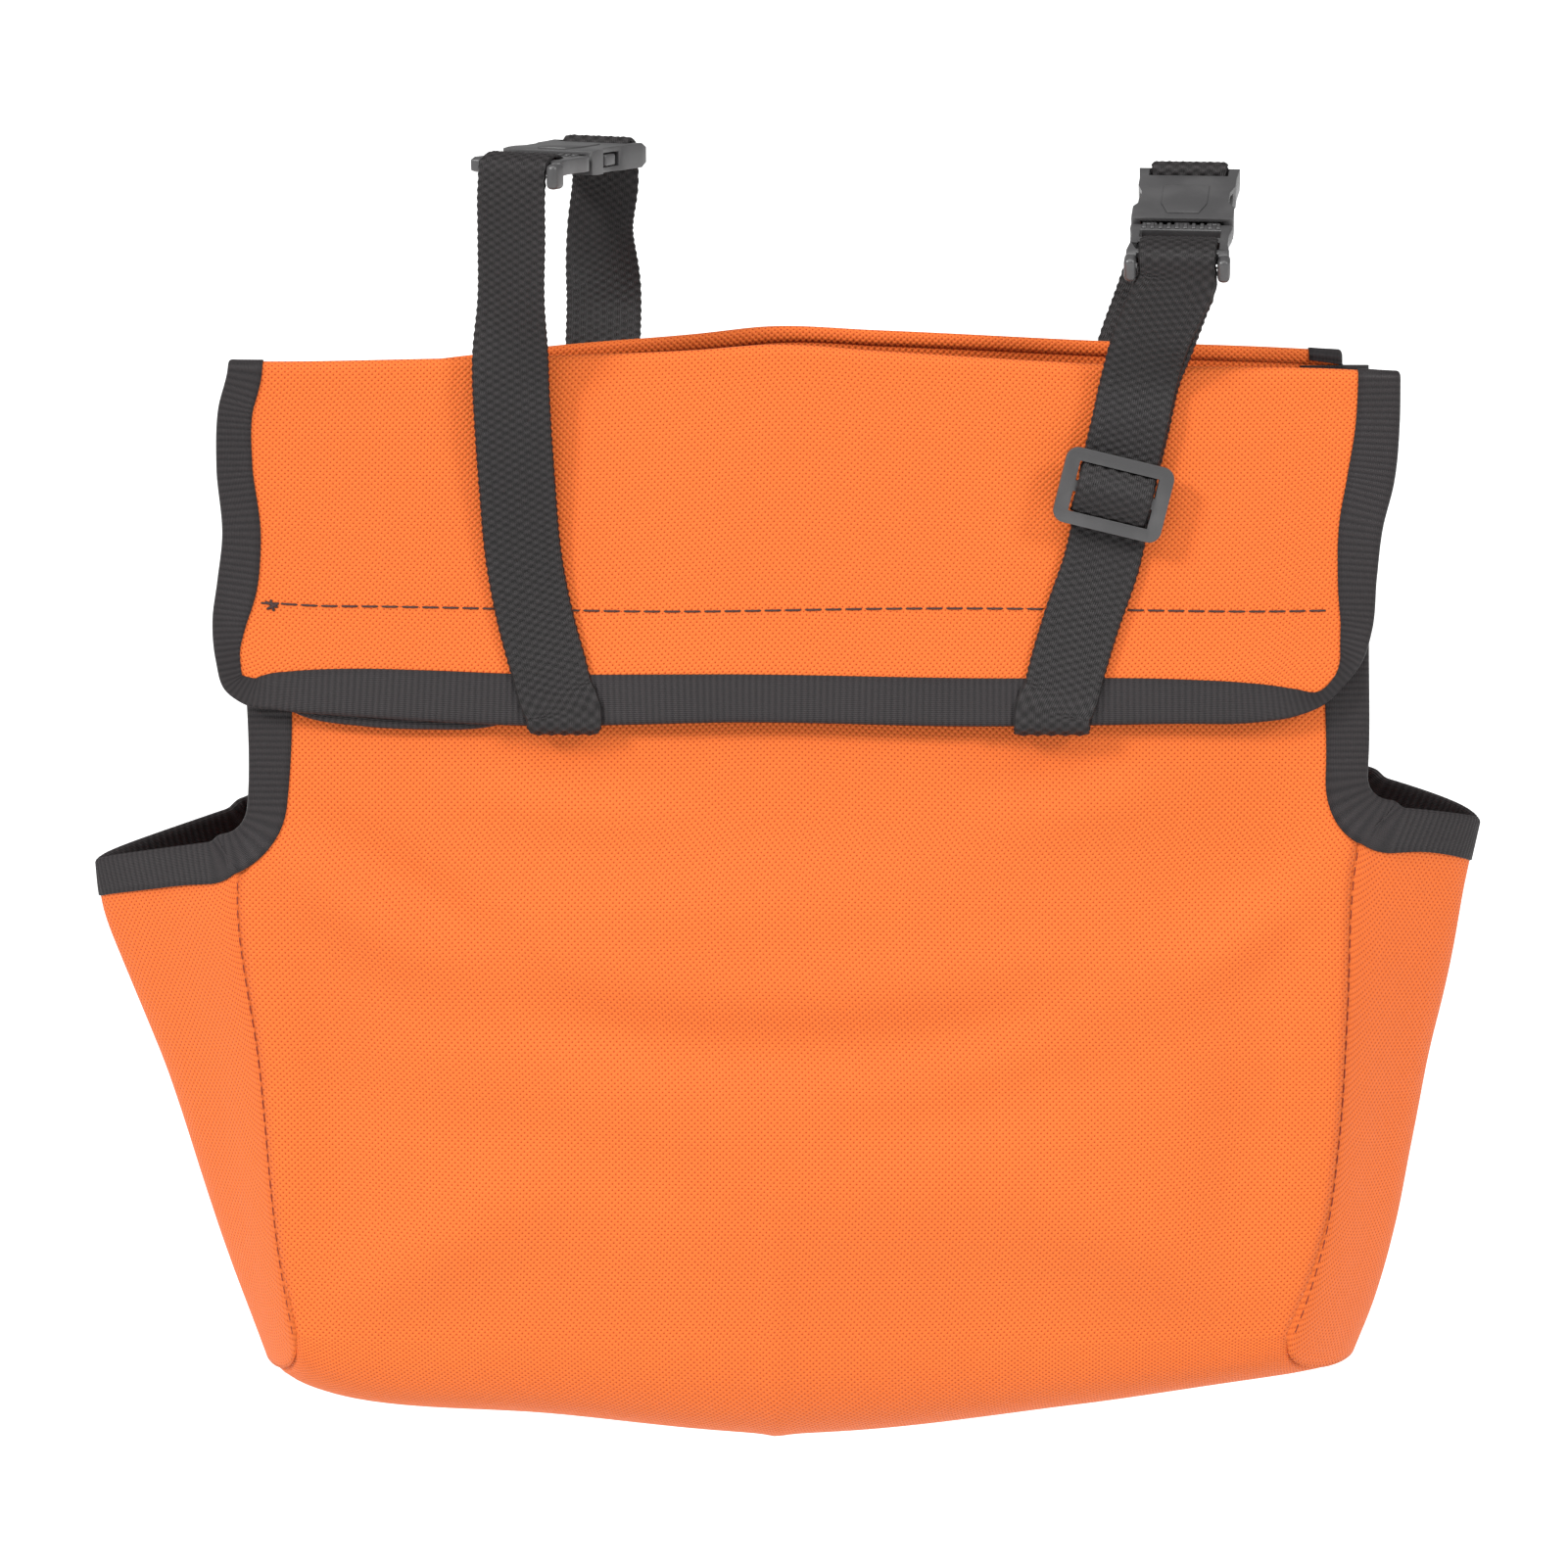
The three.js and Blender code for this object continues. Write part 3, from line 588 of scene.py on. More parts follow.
def wrinkles(side, x, z):
    """How far the wall stands out or in at a point."""
    total = np.zeros(np.broadcast(x, z).shape)
    for middle_x, middle_z, long, wide, degrees, height in WRINKLES[side]:
        turn = math.radians(degrees)
        run = (x - middle_x) * math.cos(turn) + (z - middle_z) * math.sin(turn)
        off = (z - middle_z) * math.cos(turn) - (x - middle_x) * math.sin(turn)
        total += WRINKLE_SCALE * height * np.exp(-((run / long) ** 2) - (off / wide) ** 2)
    low = SMILE_Z - SMILE_RISE * (1 - (x / SMILE_REACH) ** 2)
    spread = np.exp(-((x / SMILE_END) ** 4))
    total -= SMILE_DEPTH * spread * np.exp(-(((z - low) / SMILE_WIDTH) ** 2))
    total += 0.5 * SMILE_DEPTH * spread * np.exp(-(((z - low - SMILE_LIP) / SMILE_WIDTH) ** 2))
    crease = CREASE_HEIGHT * np.exp(-np.abs(x - CREASE_X) / CREASE_WIDTH)
    return total + crease * smooth(-290, -370, z)


def wall_depth(side, x, z):
    """Half depth of the front or the back at a point, out to the outer face of the cloth."""
    left, right = EDGE_X[LEFT](z), EDGE_X[RIGHT](z)
    share = np.clip((2 * x - left - right) / (right - left), -1.1, 1.1)
    depth = lerp(MIDDLE_DEPTH(z), EDGE_DEPTH(z), share**2)
    held = smooth(1.0, 0.86, np.abs(share)) * smooth(STITCH_Z - 20, STITCH_Z - 60, z)
    depth = depth + wrinkles(side, x, z) * held
    if side == BACK:
        depth = depth - BACK_CLOSED * smooth(-20, -170, x) * smooth(STITCH_Z, FOLD_Z, z)
    return depth


def wall(side, x, z, out=0.0):
    """A point of the front or the back, out from the outer face of its cloth."""
    x, z = np.broadcast_arrays(x, z)
    return np.stack([x, side * (wall_depth(side, x, z) + out), z], -1)


# %% [markdown]
# ## The side pockets
# Between the front and the back a gusset stands out to a point, like the side of a paper bag, and its
# top is left open as a pocket. A point of a gusset has a share across it, from -1 at the front seam to
# 1 at the back seam, and a share down it, from 0 at the notch to 1 at the foot.


# %% The gusset as a function
def foot_round(across):
    """The full round section of the bottom: 1 in the middle and 0 at the front and the back."""
    power = BOTTOM_FULLNESS
    return (1 - np.minimum(np.abs(across), 1) ** power) ** (1 / power)


def gusset(hand, across, down, out=0.0):
    """A point of a gusset, out from the outer face of its cloth."""
    level = lerp(NOTCH_Z[hand], CORNER_Z, down)
    depth, bulge = EDGE_DEPTH(level), BULGE[hand](level)
    tip = lerp(TIP_ROUND[hand], 0.6, smooth(0, 1, down))
    scale = np.sqrt(1 + tip * tip) - tip
    profile = 1 - (np.sqrt(across**2 + tip * tip) - tip) / scale
    slope = -across / np.sqrt(across**2 + tip * tip) / scale
    normal = unit(np.stack(np.broadcast_arrays(hand * depth, -bulge * slope), -1))
    drop = RIM_DROP[hand] * (1 - np.abs(across)) * (1 - down)
    sag = SAG_SIDE * foot_round(across) * down
    x = EDGE_X[hand](level) + hand * bulge * profile + out * normal[..., 0]
    y = across * depth + out * normal[..., 1]
    return np.stack(np.broadcast_arrays(x, y, level - drop - sag), -1)


def half_girth(hand):
    """Length of the gusset's rim from a seam to its tip."""
    return math.hypot(float(BULGE[hand](NOTCH_Z[hand])), float(EDGE_DEPTH(NOTCH_Z[hand])))


def down_at(hand, across, z):
    """The share down a gusset at which it has the height z."""
    across = np.clip(across, -1, 1)
    drop = RIM_DROP[hand] * (1 - np.abs(across))
    sag = SAG_SIDE * foot_round(across)
    return (NOTCH_Z[hand] - drop - z) / (NOTCH_Z[hand] - CORNER_Z - drop + sag)


def hull(hand, w, z, out):
    """A point near an open edge: w runs from the front seam round the gusset to the back seam."""
    girth = half_girth(hand)
    across = np.clip(w / girth - 1, -1, 1)
    side = np.where(w < girth, FRONT, BACK)
    beyond = np.where(w < girth, np.minimum(w, 0), np.minimum(2 * girth - w, 0))
    x = edge_x(hand, side, z) + hand * beyond
    walls = np.where(side[..., None] < 0, wall(FRONT, x, z, 0), wall(BACK, x, z, 0))
    down = down_at(hand, across, z)
    pocket = gusset(hand, across, down)
    face = gusset(hand, across, down, 1.0) - pocket
    flat = np.stack(np.broadcast_arrays(0.0 * w, side, 0.0 * w), -1)
    on_gusset = smooth(-3, 5, np.minimum(w, 2 * girth - w))[..., None]
    normal = unit(lerp(flat, face, on_gusset))
    base = np.where((beyond < 0)[..., None], walls, pocket)
    return base + normal * np.asarray(out)[..., None]


print("rims in mm:", {HAND_NAMES[hand]: round(2 * half_girth(hand)) for hand in (LEFT, RIGHT)})

# %% [markdown]
# ## Sewing the sack
# The front, the bottom and the back are one long piece of cloth that runs under the sack, narrower at
# the neck. A gusset is sewn along each side of it. At a seam both cloths roll inwards, which leaves a
# fine groove.

# %% The body cloth
COLUMNS = 111
WALL_ROWS = 96
BOTTOM_ROWS = 48
ROLL = 3.0
ROLL_DEPTH = 0.9
FOLD_ROUND = 2.2
UNDER_TAPE = 1.6


def rolled(distance):
    """How far cloth dips at that distance from a seam."""
    return ROLL_DEPTH * np.clip(1 - distance / ROLL, 0, 1) ** 2


def wall_rows(side, rows):
    share = np.linspace(-1, 1, COLUMNS)[None, :]
    down = np.linspace(0, 1, rows)[:, None]
    top_x = lerp(edge_x(LEFT, side, FOLD_Z), edge_x(RIGHT, side, FOLD_Z), (share + 1) / 2)
    z = lerp(MOUTH_Z[side](top_x) - FOLD_ROUND, CORNER_Z, down)
    open_edge = [smooth(NOTCH_Z[hand] - 2, NOTCH_Z[hand] + 8, z) * UNDER_TAPE for hand in (LEFT, RIGHT)]
    left, right = edge_x(LEFT, side, z) + open_edge[0], edge_x(RIGHT, side, z) - open_edge[1]
    x = lerp(left, right, (share + 1) / 2)
    sewn = smooth(NOTCH_Z[LEFT] + 10, NOTCH_Z[LEFT] - 10, z)
    dip = rolled(np.minimum(x - left, right - x)) * sewn
    return wall(side, x, z, -dip)


def bottom_rows(rows):
    share = np.linspace(-1, 1, COLUMNS)[None, :]
    turn = np.linspace(-math.pi / 2, math.pi / 2, rows)[1:-1, None]
    round_y = np.sign(turn) * np.abs(np.sin(turn)) ** (2 / BOTTOM_FULLNESS)
    round_z = np.cos(turn) ** (2 / BOTTOM_FULLNESS)
    left, right = gusset(LEFT, round_y, 1.0)[..., 0], gusset(RIGHT, round_y, 1.0)[..., 0]
    x = lerp(left, right, (share + 1) / 2)
    ridge = CREASE_HEIGHT * np.exp(-np.abs(x - CREASE_X) / CREASE_WIDTH)
    sag = lerp(BOTTOM_SAG(x) + ridge, SAG_SIDE, np.abs(share) ** 30)
    front = -wall(FRONT, x, CORNER_Z)[..., 1]
    back = wall(BACK, x, CORNER_Z)[..., 1]
    depth = np.where(round_y < 0, front, back) * smooth(0, 0.15, np.abs(round_y))
    depth = lerp(lerp(MIDDLE_DEPTH(CORNER_Z), EDGE_DEPTH(CORNER_Z), share**2), depth, round_y**4)
    dip = rolled(np.minimum(x - left, right - x))
    return np.stack([x, (depth - dip) * round_y, CORNER_Z - (sag - dip) * round_z], -1)


front_rows, back_rows = wall_rows(FRONT, WALL_ROWS), wall_rows(BACK, WALL_ROWS)
body_rows = np.concatenate([front_rows, bottom_rows(BOTTOM_ROWS), back_rows[::-1]])
body_cloth = sheet_piece("body_cloth", body_rows, ORANGE_CLOTH, CLOTH)
middle_line = lengths(body_rows[:, COLUMNS // 2])[-1]
print("body cloth is", round(middle_line), "mm long from mouth to mouth")

# %% [markdown]
# ## The two gussets
# Each gusset is one sheet that is bent to a point in the middle, with an open top edge and a shallow
# hollow on each side of its fold. A flat plate with a crease would do from far off, but its rim has to
# rise into the neck at both seams, so it is lofted in rows that start on the rim.

# %% The two gussets
GUSSET_COLUMNS = 71
GUSSET_ROWS = 80
GUSSET_HOLLOW = 2.2


def rim_height(hand, w):
    """Height of the open edge, which rises into the neck at the seams."""
    girth = half_girth(hand)
    from_seam = np.minimum(w, 2 * girth - w)
    level = NOTCH_Z[hand] - RIM_DROP[hand] * np.clip(from_seam / girth, 0, 1)
    inside = np.clip(NOTCH_ROUND - from_seam, 0, NOTCH_ROUND)
    return level + NOTCH_ROUND - np.sqrt(NOTCH_ROUND**2 - inside**2)


def gusset_rows(hand):
    across = np.sin(np.linspace(-math.pi / 2, math.pi / 2, GUSSET_COLUMNS))[None, :]
    across = lerp(np.linspace(-1, 1, GUSSET_COLUMNS)[None, :], across, 0.35)
    girth = half_girth(hand)
    w = (across + 1) * girth
    start = down_at(hand, across, rim_height(hand, w) - UNDER_TAPE)
    down = lerp(start, 1.0, np.linspace(0, 1, GUSSET_ROWS)[:, None])
    dip = rolled(np.minimum(w, 2 * girth - w))
    hollow = GUSSET_HOLLOW * np.exp(-(((np.abs(across) - 0.55) / 0.3) ** 2))
    hollow = hollow * np.sin(math.pi * np.clip(down, 0, 1))
    return gusset(hand, across, down, -dip - hollow)


gussets = {
    hand: sheet_piece(
        f"{HAND_NAMES[hand]}_gusset_cloth", gusset_rows(hand), ORANGE_CLOTH, CLOTH, hand == LEFT
    )
    for hand in (LEFT, RIGHT)
}

# %% [markdown]
# ## The cuffs
# Above the neck the cloth turns over a soft fold and hangs down outside as a cuff. A row of dark
# stitching runs across it and closes a sleeve, and the part below the stitching is a free hem that can
# be lifted. A point of a cuff is given by x and by how high it would stand if the cuff were not turned:
# above the fold it is inside the mouth.

# %% The cuff as a function
HEM_FLARE = 2.0
COLLAR = 0.2
QUARTER = math.pi * FOLD_ROUND / 2


def cuff_wave(side, x, z):
    """Soft waves of the cuff, which is held at its fold and loose at its hem."""
    loose = smooth(-62, -176, z)
    shift = 0.0 if side == FRONT else 1.9
    slow = np.sin(x / 41 + shift) + 0.6 * np.sin(x / 23 + 2.1 + z / 60)
    lift = 1.3 * np.exp(-(((x + 30) / 34) ** 2)) + 1.2 * np.exp(-(((x - 155) / 24) ** 2))
    return loose * (0.55 * slow + lift) + 0.35 * np.sin(x / 29 + z / 33)


def cuff(side, x, z, out=0.0):
    """A point of a cuff, out from the outer face of its cloth."""
    x, z = np.broadcast_arrays(x, z)
    crest = MOUTH_Z[side](x)
    run = crest - z
    angle = np.clip(run / FOLD_ROUND, -math.pi / 2, math.pi / 2)
    flat = np.clip(np.abs(run) - QUARTER, 0, None)
    height = crest - FOLD_ROUND - flat + (FOLD_ROUND + out) * np.cos(angle)
    hang = smooth(0, 12, run - QUARTER)
    wall_y = wall_depth(side, x, np.minimum(height, FOLD_Z))
    neck = wall_y - CLOTH - COLLAR + FOLD_ROUND + (FOLD_ROUND + out) * np.sin(angle)
    flare = HEM_FLARE * smooth(STITCH_Z, HEM_Z, height) + cuff_wave(side, x, height)
    return np.stack([x, side * (neck + hang * flare), height], -1)


# %% [markdown]
# The outline of a cuff is not a rectangle. The sewing has pulled its sides into waves, rounded its
# lower left corner and pinched the lower right one almost to a point. The tape follows that outline,
# and the list gives the tape's width beside each point.

# %% Outline of the cuff and width of its tape
CUFF_OUTLINE = [
    (-174, -42, 10), (-182, -59, 11), (-185.4, -76, 11), (-186.3, -94.4, 11.5), (-184.8, -118, 12.4),
    (-186.6, -132, 13), (-188.5, -145.6, 11), (-187.6, -158, 8), (-185, -167, 7.6), (-178.6, -171.8, 9.2),
    (-167, -173.7, 12.4), (-142, -175.6, 15.3), (-120, -177, 16.2), (-91, -178.3, 16.4), (-14, -177, 15.2),
    (63, -178.3, 15.2), (127, -178, 14.3), (152, -177.6, 12.8), (167, -175.4, 9.2), (176.4, -171.4, 4.6),
    (182, -166, 4.4), (188, -158, 8.2), (191, -148, 10.5), (192.2, -131, 12.7), (193.8, -115, 14.2),
    (197.2, -100, 15.2), (198.7, -80, 14), (198.6, -63, 13.5), (195, -46, 13),
]
BACK_MIDDLE = 4.5
BACK_NARROWING = 0.965
SHEET_INSET = 2.5


def cuff_outline(side):
    """x, height and tape width round a cuff. The back one is sewn the same way, seen from behind."""
    points = np.array(CUFF_OUTLINE, float)
    if side == BACK:
        points[:, 0] = (2 * BACK_MIDDLE - points[:, 0]) * BACK_NARROWING
    for end, beside in ((0, 1), (-1, -2)):
        crest = MOUTH_Z[side](points[beside, 0])
        points[beside, 1] = crest - 3
        points[end] = (points[beside, 0], crest + QUARTER + 2, points[beside, 2])
    return points


def cuff_sheet_rows(side, columns=101, rows=72):
    """Rows from the fold to the hem, drawn in from the outline so that the tape covers the edge."""
    outline = evenly(cuff_outline(side), 1.0)
    low = int(np.argmin(np.abs(outline[:, 0] - outline[:, 0].mean()) + 50 * (outline[:, 1] > -150)))
    ends = sorted((outline[:low], outline[low:]), key=lambda part: part[:, 0].mean())
    edges = [through(*[(z, x) for x, z, _ in part[part[:, 1] > -172][::6]]) for part in ends]
    base = through(*[(x, z) for x, z, _ in outline[(outline[:, 1] < -168)][::10]])
    down = np.linspace(0, 1, rows)[:, None]
    share = np.linspace(0, 1, columns)[None, :]
    rough_x = lerp(edges[0](-120), edges[1](-120), share)
    top = MOUTH_Z[side](rough_x) + QUARTER + 3
    z = lerp(top, base(rough_x) + 3, down)
    x = lerp(edges[0](z) + SHEET_INSET, edges[1](z) - SHEET_INSET, share)
    return cuff(side, x, z)


# %% [markdown]
# ## The cuff sheets
# Each cuff is a grid that follows the outline on its two sides and at its hem. A rectangle cut back
# with a boolean would have ragged cells along the tape, and a grid that fits has none.

# %% The cuff sheets
cuffs = {
    side: sheet_piece(
        f"{SIDE_NAMES[side]}_cuff_cloth", cuff_sheet_rows(side), ORANGE_CLOTH, CLOTH, side == BACK
    )
    for side in (FRONT, BACK)
}

# %% [markdown]
# ## Binding tape
# A raw edge is bound by folding a ribbed tape over it and sewing through both legs. The section of the
# tape is a U that holds the cloth, and the ribs are part of its shape, so the edge looks woven even in
# outline. On the section, a runs in from the edge and b stands out from the outer face of the cloth.

# %% The tape's section and how it is carried
TAPE = 0.6
RIB_HEIGHT = 0.13
TAPE_STEP = TAPE_RIB / 4
TAPE_SHARES = np.array([1.0, 0.985, 0.8, 0.6, 0.4, 0.2, 0.06])


def tape_section():
    """(share of the width, distance out, rib share) of each point of the U, once round it."""
    top = [(share, TAPE, 1.0) for share in TAPE_SHARES]
    top[0] = (1.0, 0.15, 0.0)
    edge = [(0.0, 0.25, 1.0), (-0.03, -CLOTH / 2, 1.0), (0.0, -CLOTH - 0.25, 1.0)]
    under = [(share, -CLOTH - TAPE, 1.0) for share in TAPE_SHARES[::-1]]
    under[-1] = (1.0, -CLOTH - 0.15, 0.0)
    inner = [(1.0, -CLOTH - 0.03, 0.0), (0.12, -CLOTH - 0.03, 0.0), (0.12, 0.03, 0.0), (1.0, 0.03, 0.0)]
    return np.array(top + edge + under + inner)


def tape_piece(name, path, inward, widths, surface):
    """Carries the section along path, a line in the surface's own two measures."""
    along = lengths(path)
    share, out, ribbed = tape_section().T
    a = share[None, :] * widths[:, None]
    rib = RIB_HEIGHT * np.cos(2 * math.pi * along / TAPE_RIB)[:, None] * ribbed[None, :]
    b = out[None, :] + rib * np.sign(out + CLOTH / 2)[None, :]
    spot = path[:, None, :] + inward[:, None, :] * a[..., None]
    rings = surface(spot[..., 0], spot[..., 1], b)
    around = np.concatenate([np.abs(share), [1.0]]) * widths.mean()
    return strip_piece(name, rings, along, around, BLACK_TAPE)


def inward_of(path, turn):
    """Unit vectors in from a path: turn is 1 if the cloth is on its right and -1 on its left."""
    run = unit(np.gradient(path, axis=0))
    return turn * np.stack([run[:, 1], -run[:, 0]], 1)


# %% [markdown]
# ## Tape round the pockets
# One length of tape runs down the front edge of the neck, round the notch, along the pocket's rim and
# up the back. A curve with a bevel would twist at the notch. Here the tape's path is drawn on the
# unrolled side of the bag, in w and height, so it lies on the cloth wherever it goes.

# %% Tape round the neck, the notches and the pockets
SIDE_TAPE = 13.0
EASE = 4
CORNER_TAPE = {LEFT: 1.4, RIGHT: 2.8}


def side_path(hand):
    """Down the front of the neck, round the pocket and up the back, in w and height."""
    girth = half_girth(hand)
    corner = NOTCH_Z[hand] + NOTCH_ROUND
    edge = EDGE_X[hand](FOLD_Z)
    front_top, back_top = [float(MOUTH_Z[side](edge)) - FOLD_ROUND - 1 for side in (FRONT, BACK)]
    turn = np.linspace(math.pi, 1.5 * math.pi, 24)
    bend = np.stack([NOTCH_ROUND + NOTCH_ROUND * np.cos(turn), corner + NOTCH_ROUND * np.sin(turn)], 1)
    w = np.linspace(NOTCH_ROUND + 1, girth, 60)
    rim = np.stack([w, NOTCH_Z[hand] - RIM_DROP[hand] * w / girth], 1)
    front_drop, back_drop = [
        np.array([[0, z] for z in np.linspace(top, corner + 1, 90)]) for top in (front_top, back_top)
    ]
    half = np.concatenate([front_drop, bend, rim])
    other = np.concatenate([back_drop, bend, rim])[-2::-1] * [-1, 1] + [2 * girth, 0]
    path = np.concatenate([half, other])
    along = lengths(path)
    even = pick(path, along, np.linspace(0, along[-1], round(along[-1] / TAPE_STEP)))
    kernel = np.ones(2 * EASE + 1) / (2 * EASE + 1)
    padded = np.pad(even, ((EASE, EASE), (0, 0)), "edge")
    return np.stack([np.convolve(column, kernel, "valid") for column in padded.T], 1)


side_bindings = {}
for hand in (LEFT, RIGHT):
    path = side_path(hand)
    along = lengths(path)
    from_seam = np.minimum(path[:, 0], 2 * half_girth(hand) - path[:, 0])
    widths = SIDE_TAPE + 0.8 * np.sin(along / 31 + hand) + 0.5 * np.sin(along / 13)
    widths = widths + CORNER_TAPE[hand] * np.exp(-(((from_seam - 9) / 12) ** 2))
    side_bindings[hand] = tape_piece(
        f"{HAND_NAMES[hand]}_side_binding",
        path,
        inward_of(path, 1),
        widths,
        lambda w, z, out, hand=hand: hull(hand, w, z, out),
    )

# %% [markdown]
# ## Tape round the cuffs
# A cuff's tape follows its outline, and its width changes where the tape has been pulled tight or has
# spread. It is carried in the cuff's own two measures, so it turns over the fold with the cloth.

# %% Tape round the cuffs
cuff_bindings = {}
for side in (FRONT, BACK):
    outline = evenly(cuff_outline(side), TAPE_STEP)
    turn = -1 if side == FRONT else 1
    cuff_bindings[side] = tape_piece(
        f"{SIDE_NAMES[side]}_cuff_binding",
        outline[:, :2],
        inward_of(outline[:, :2], turn),
        outline[:, 2],
        lambda x, z, out, side=side: cuff(side, x, z, out),
    )

# %% [markdown]
# ## Stitches
# A stitch is a short thread that comes up through the cloth, lies on it and goes down again. Each one
# is a six-sided spindle of a few faces, and a whole row is one piece.

# %% Rows of stitches
THREAD = 0.34
SPINDLE_SIDES = 6
SPINDLE_RINGS = 5


def stitch_rows(name, starts, ends, outs, material, radius=THREAD):
    """One mesh of threads from starts to ends, lifted along outs in the middle."""
    share = np.array([0.0, 0.12, 0.5, 0.88, 1.0])
    lift = np.array([-0.6, 0.35, 0.6, 0.35, -0.6])
    size = np.array([0.5, 1.0, 1.0, 1.0, 0.5]) * radius
    turn = np.linspace(0, 2 * math.pi, SPINDLE_SIDES + 1)[:SPINDLE_SIDES]
    run = unit(ends - starts)
    side = unit(np.cross(run, outs))
    lie = starts[:, None] + (ends - starts)[:, None] * share[None, :, None]
    lie = lie + outs[:, None] * (lift * radius)[None, :, None]
    ring = side[:, None, None] * np.cos(turn)[None, None, :, None]
    ring = ring + outs[:, None, None] * np.sin(turn)[None, None, :, None] * 0.8
    points = lie[:, :, None] + ring * size[None, :, None, None]
    faces, uvs = [], []
    sides = SPINDLE_SIDES
    for base in range(0, len(starts) * sides * SPINDLE_RINGS, sides * SPINDLE_RINGS):
        for i in range(SPINDLE_RINGS - 1):
            ring_at, next_at = base + i * sides, base + (i + 1) * sides
            for j in range(sides):
                k = (j + 1) % sides
                faces.append([ring_at + j, ring_at + k, next_at + k, next_at + j])
                low, high = j / sides, (j + 1) / sides
                uvs += [(i, low), (i, high), (i + 1, high), (i + 1, low)]
        faces.append([base + j for j in reversed(range(sides))])
        faces.append([base + (SPINDLE_RINGS - 1) * sides + j for j in range(sides)])
        uvs += [(0, 0)] * (2 * sides)
    made = new_piece(name, points.reshape(-1, 3), faces, np.array(uvs, float), material)
    print(name, len(starts), "stitches")
    return made


def run_of_stitches(name, spots, surface, pitch, gap, material, radius=THREAD):
    """Stitches along spots, a line in the surface's two measures."""
    along = lengths(spots)
    count = int(along[-1] / pitch)
    begin = np.arange(count) * pitch
    pairs = [pick(spots, along, begin + shift) for shift in (0.0, pitch - gap)]
    starts, ends = [surface(pair[:, 0], pair[:, 1], np.zeros(count)) for pair in pairs]
    outs = unit(surface(pairs[0][:, 0], pairs[0][:, 1], np.ones(count)) - starts)
    return stitch_rows(name, starts, ends, outs, material, radius)


def cuff_stitch_line(side):
    """The line of the stitching across a cuff, which rises a little near its start."""
    x = np.linspace(-173, 183, 60)
    height = -140.6 + 0.5 * np.sin(x / 31) - 0.6 * smooth(-170, -40, x) + 1.2 * smooth(-150, -174, x)
    x = x if side == FRONT else 2 * BACK_MIDDLE - x[::-1]
    return np.stack([x, height], 1)


CUFF_PITCH = 6.6
CUFF_GAP = 0.7
cuff_stitches = {}
for side in (FRONT, BACK):
    cuff_stitches[side] = run_of_stitches(
        f"{SIDE_NAMES[side]}_cuff_stitches",
        cuff_stitch_line(side),
        lambda x, z, out, side=side: cuff(side, x, z, out),
        CUFF_PITCH,
        CUFF_GAP,
        DARK_THREAD,
    )

# %% [markdown]
# ## Back-tack and facing
# The row starts with a few stitches back and forth, so it can't come undone. Under the hem's left
# corner a little of the turned-in tape shows. Both are small, but the eye looks for them at the corner,
# and each is one more call of a function that is already there.

# %% A back-tack at the start of the row, and the facing that shows under the hem
HEM_FACING = [(-171, -170), (-160, -176), (-140, -179.4), (-118, -180.4), (-100, -179.8), (-88, -177)]
FACING_WIDTH = 8.0
FACING_BELOW = 2.3
TACK_THREAD = 0.45
# x and height where each thread starts, and where it ends
TACK = [
    (-171.5, -138.6, -167.0, -140.6),
    (-171.0, -141.2, -166.6, -139.0),
    (-169.6, -137.8, -168.4, -142.0),
]
tack = np.array(TACK)
on_face = [cuff(FRONT, tack[:, i], tack[:, i + 1], 0) for i in (0, 2)]
away = unit(cuff(FRONT, tack[:, 0], tack[:, 1], 1) - on_face[0])
back_tack = stitch_rows("front_back_tack", *on_face, away, DARK_THREAD, TACK_THREAD)

facing_line = evenly([(x, z, 0) for x, z in HEM_FACING], TAPE_STEP)[:, :2]
hem_facing = tape_piece(
    "front_hem_facing",
    facing_line,
    inward_of(facing_line, -1),
    np.full(len(facing_line), FACING_WIDTH),
    lambda x, z, out: cuff(FRONT, x, z, out - FACING_BELOW),
)

# %% [markdown]
# ## Side seams
# A seam's thread shows only as small bright pricks down in its groove. They could be painted in the
# finish, but real threads catch the light from every side, so they are sewn like the cuff's row.

# %% Stitches of the side seams
SEAM_PITCH = 4.4
SEAM_GAP = 1.3
SEAM_RADIUS = 0.24
SEAM_SUNK = 0.75
SEAM_SHARE = 0.985
SEAM_LONG = 168
seam_stitches = {}
for hand in (LEFT, RIGHT):
    for side in (FRONT, BACK):
        spots = np.array([(side * SEAM_SHARE, t) for t in range(14, 166)], float)
        seam_stitches[hand, side] = run_of_stitches(
            f"{HAND_NAMES[hand]}_{SIDE_NAMES[side]}_seam_stitches",
            spots,
            lambda across, t, out, hand=hand: gusset(hand, across, t / SEAM_LONG, out - SEAM_SUNK),
            SEAM_PITCH,
            SEAM_GAP,
            SEAM_THREAD,
            SEAM_RADIUS,
        )

# %% [markdown]
# ## Webbing
# The straps are 25 mm webbing. Thick ribs cross it and are carried over and under in columns, so its
# face is a brick pattern of small humps. The humps and the scalloped edges are in the mesh.

# %% Webbing carried along a line
WEB = 1.5
WEB_STEP = WEB_ROW / 4
WEB_RELIEF = 0.3


def web_section():
    """(across, face) of each point once round the webbing: face is 1 on top and -1 below."""
    half = np.linspace(-1, 1, 45)
    round_edge = np.sqrt(np.clip(1 - np.abs(half) ** 18, 0, 1))
    top = np.stack([half * WEB_WIDTH / 2, round_edge], 1)
    under = np.stack([half[::-1] * WEB_WIDTH / 2, -round_edge[::-1]], 1)
    return np.concatenate([top, under[1:-1]])


